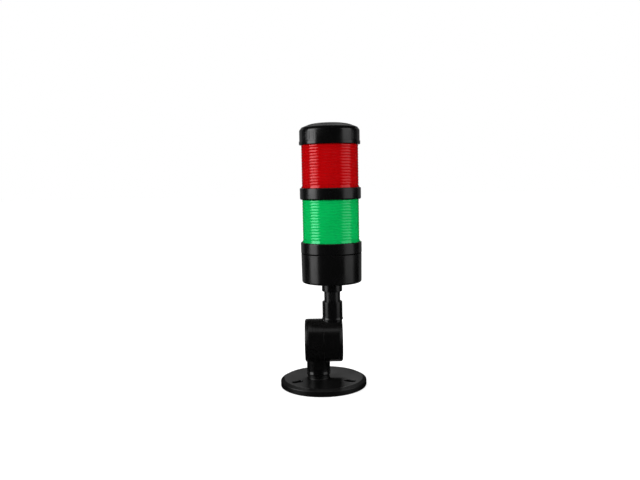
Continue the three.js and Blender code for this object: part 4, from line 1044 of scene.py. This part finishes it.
# ---- Studio, in metres -------------------------------------------------------------------------

FLOOR_REACH = 6.0
FLOOR_DROP = 0.0001
AIM_HEIGHT = 0.12
CAMERA_PLACE = (-0.0009, -0.561, 0.173)
CAMERA_LENS = 38.25
CAMERA_DIP = 5.2
CAMERA_ROLL = -1.1
DIFFUSE_LEVEL = 0.62
THROUGH_LEVEL = 0.9
LEAST_LEVEL = 0.005


def studio_floor():
    corners = [(x * FLOOR_REACH, y * FLOOR_REACH, 0)
               for x, y in ((-1, -1), (1, -1), (1, 1), (-1, 1))]
    floor = made("studio_floor", corners, [(0, 1, 2, 3)])
    material, _, shader = new_finish("Studio floor")
    shader.inputs["Base Color"].default_value = (0.86, 0.86, 0.86, 1)
    shader.inputs["Roughness"].default_value = 0.9
    shader.inputs["Specular IOR Level"].default_value = 0.0
    shader.inputs["Emission Color"].default_value = (1, 1, 1, 1)
    shader.inputs["Emission Strength"].default_value = 0.5
    floor.data.materials.append(material)
    floor.visible_glossy = False
    floor.location.z = -FLOOR_DROP
    floor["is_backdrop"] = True


def soft_box(name, azimuth, distance, height, width, tall, radiance, aim=AIM_HEIGHT):
    """A rectangular soft light. Azimuth 0 is in front and 90 is on the right."""
    lamp = bpy.data.lights.new(name, "AREA")
    lamp.shape = "RECTANGLE"
    lamp.size = width
    lamp.size_y = tall
    lamp.energy = radiance * math.pi * width * tall
    box = bpy.data.objects.new(name, lamp)
    angle = math.radians(azimuth)
    box.location = (distance * math.sin(angle), -distance * math.cos(angle), height)
    towards = Vector((0, 0, aim)) - box.location
    box.rotation_euler = towards.to_track_quat("-Z", "Y").to_euler()
    box.visible_camera = False
    bpy.context.scene.collection.objects.link(box)
    return box


def studio_world():
    """White to the eye and to light passing through the lenses, softer to the rest."""
    world = bpy.data.worlds.new("Studio")
    world.use_nodes = True
    tree = world.node_tree
    background = tree.nodes["Background"]
    path = tree.nodes.new("ShaderNodeLightPath")
    diffuse = arithmetic(tree, "MULTIPLY", path.outputs["Is Diffuse Ray"], DIFFUSE_LEVEL)
    through = arithmetic(tree, "MULTIPLY", path.outputs["Is Transmission Ray"], THROUGH_LEVEL)
    seen = arithmetic(tree, "ADD", path.outputs["Is Camera Ray"], diffuse)
    level = arithmetic(tree, "MAXIMUM", arithmetic(tree, "ADD", seen, through), LEAST_LEVEL)
    tree.links.new(level, background.inputs["Strength"])
    background.inputs["Color"].default_value = (1, 1, 1, 1)
    bpy.context.scene.world = world


def studio_camera():
    data = bpy.data.cameras.new("Camera")
    data.lens = CAMERA_LENS
    data.clip_start = 0.01
    camera = bpy.data.objects.new("Camera", data)
    camera.location = CAMERA_PLACE
    camera.rotation_mode = "QUATERNION"
    pitch = Matrix.Rotation(math.radians(90 - CAMERA_DIP), 4, "X")
    roll = Matrix.Rotation(math.radians(CAMERA_ROLL), 4, "Z")
    camera.rotation_quaternion = (pitch @ roll).to_quaternion()
    bpy.context.scene.collection.objects.link(camera)
    bpy.context.scene.camera = camera


def lights_only(box, pieces):
    """Keeps a soft light to some of the pieces."""
    lit = bpy.data.collections.new("Lit by " + box.name)
    for piece in pieces:
        lit.objects.link(piece)
    box.light_linking.receiver_collection = lit


def studio_lights():
    """Two tall boxes on each side, one overhead, and weaker ones behind for edges and the plate."""
    boxes = {}
    for name, *values in (
        ("Left soft box", -72.5, 1.3, 0.43, 0.85, 1.36, 2.1),
        ("Left upper soft box", -72.5, 1.28, 0.62, 0.85, 1.08, 1.75),
        ("Right soft box", 69.5, 1.3, 0.43, 1.0, 1.36, 0.78),
        ("Right upper soft box", 69.5, 1.28, 0.62, 1.0, 1.08, 0.52),
        ("Cap glow", 180, 0.8, 0.85, 0.9, 0.4, 0.38),
        ("Overhead soft box", 0, 0.3, 1.3, 0.9, 0.9, 0.48),
        ("Back glow", 180, 1.2, 0.35, 0.8, 0.75, 0.2),
        ("Left rim light", -146, 1.2, 0.3, 0.9, 1.0, 0.2),
        ("Right rim light", 146, 1.2, 0.3, 0.9, 1.0, 0.16),
        ("Plate card", 180, 0.62, 0.8, 0.3, 0.18, 25, 0.0),
    ):
        boxes[name] = soft_box(name, *values)
    plate = bpy.data.objects["round_plate"]
    top_cap = bpy.data.objects["top_cap_fine"]
    floor = bpy.data.objects["studio_floor"]
    not_cap = [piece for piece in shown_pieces() if piece != top_cap]
    not_plate = [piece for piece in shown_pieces() if piece != plate]
    not_lenses = [piece for piece in not_plate if not piece.name.endswith("lens_fine")]
    lights_only(boxes["Plate card"], [plate])
    lights_only(boxes["Cap glow"], [top_cap])
    lights_only(boxes["Overhead soft box"], not_cap + [floor])
    lights_only(boxes["Back glow"], not_plate)
    lights_only(boxes["Left rim light"], not_lenses)
    lights_only(boxes["Right rim light"], not_lenses)


studio_floor()
studio_world()
studio_camera()
studio_lights()
bpy.context.scene.view_settings.view_transform = "Standard"
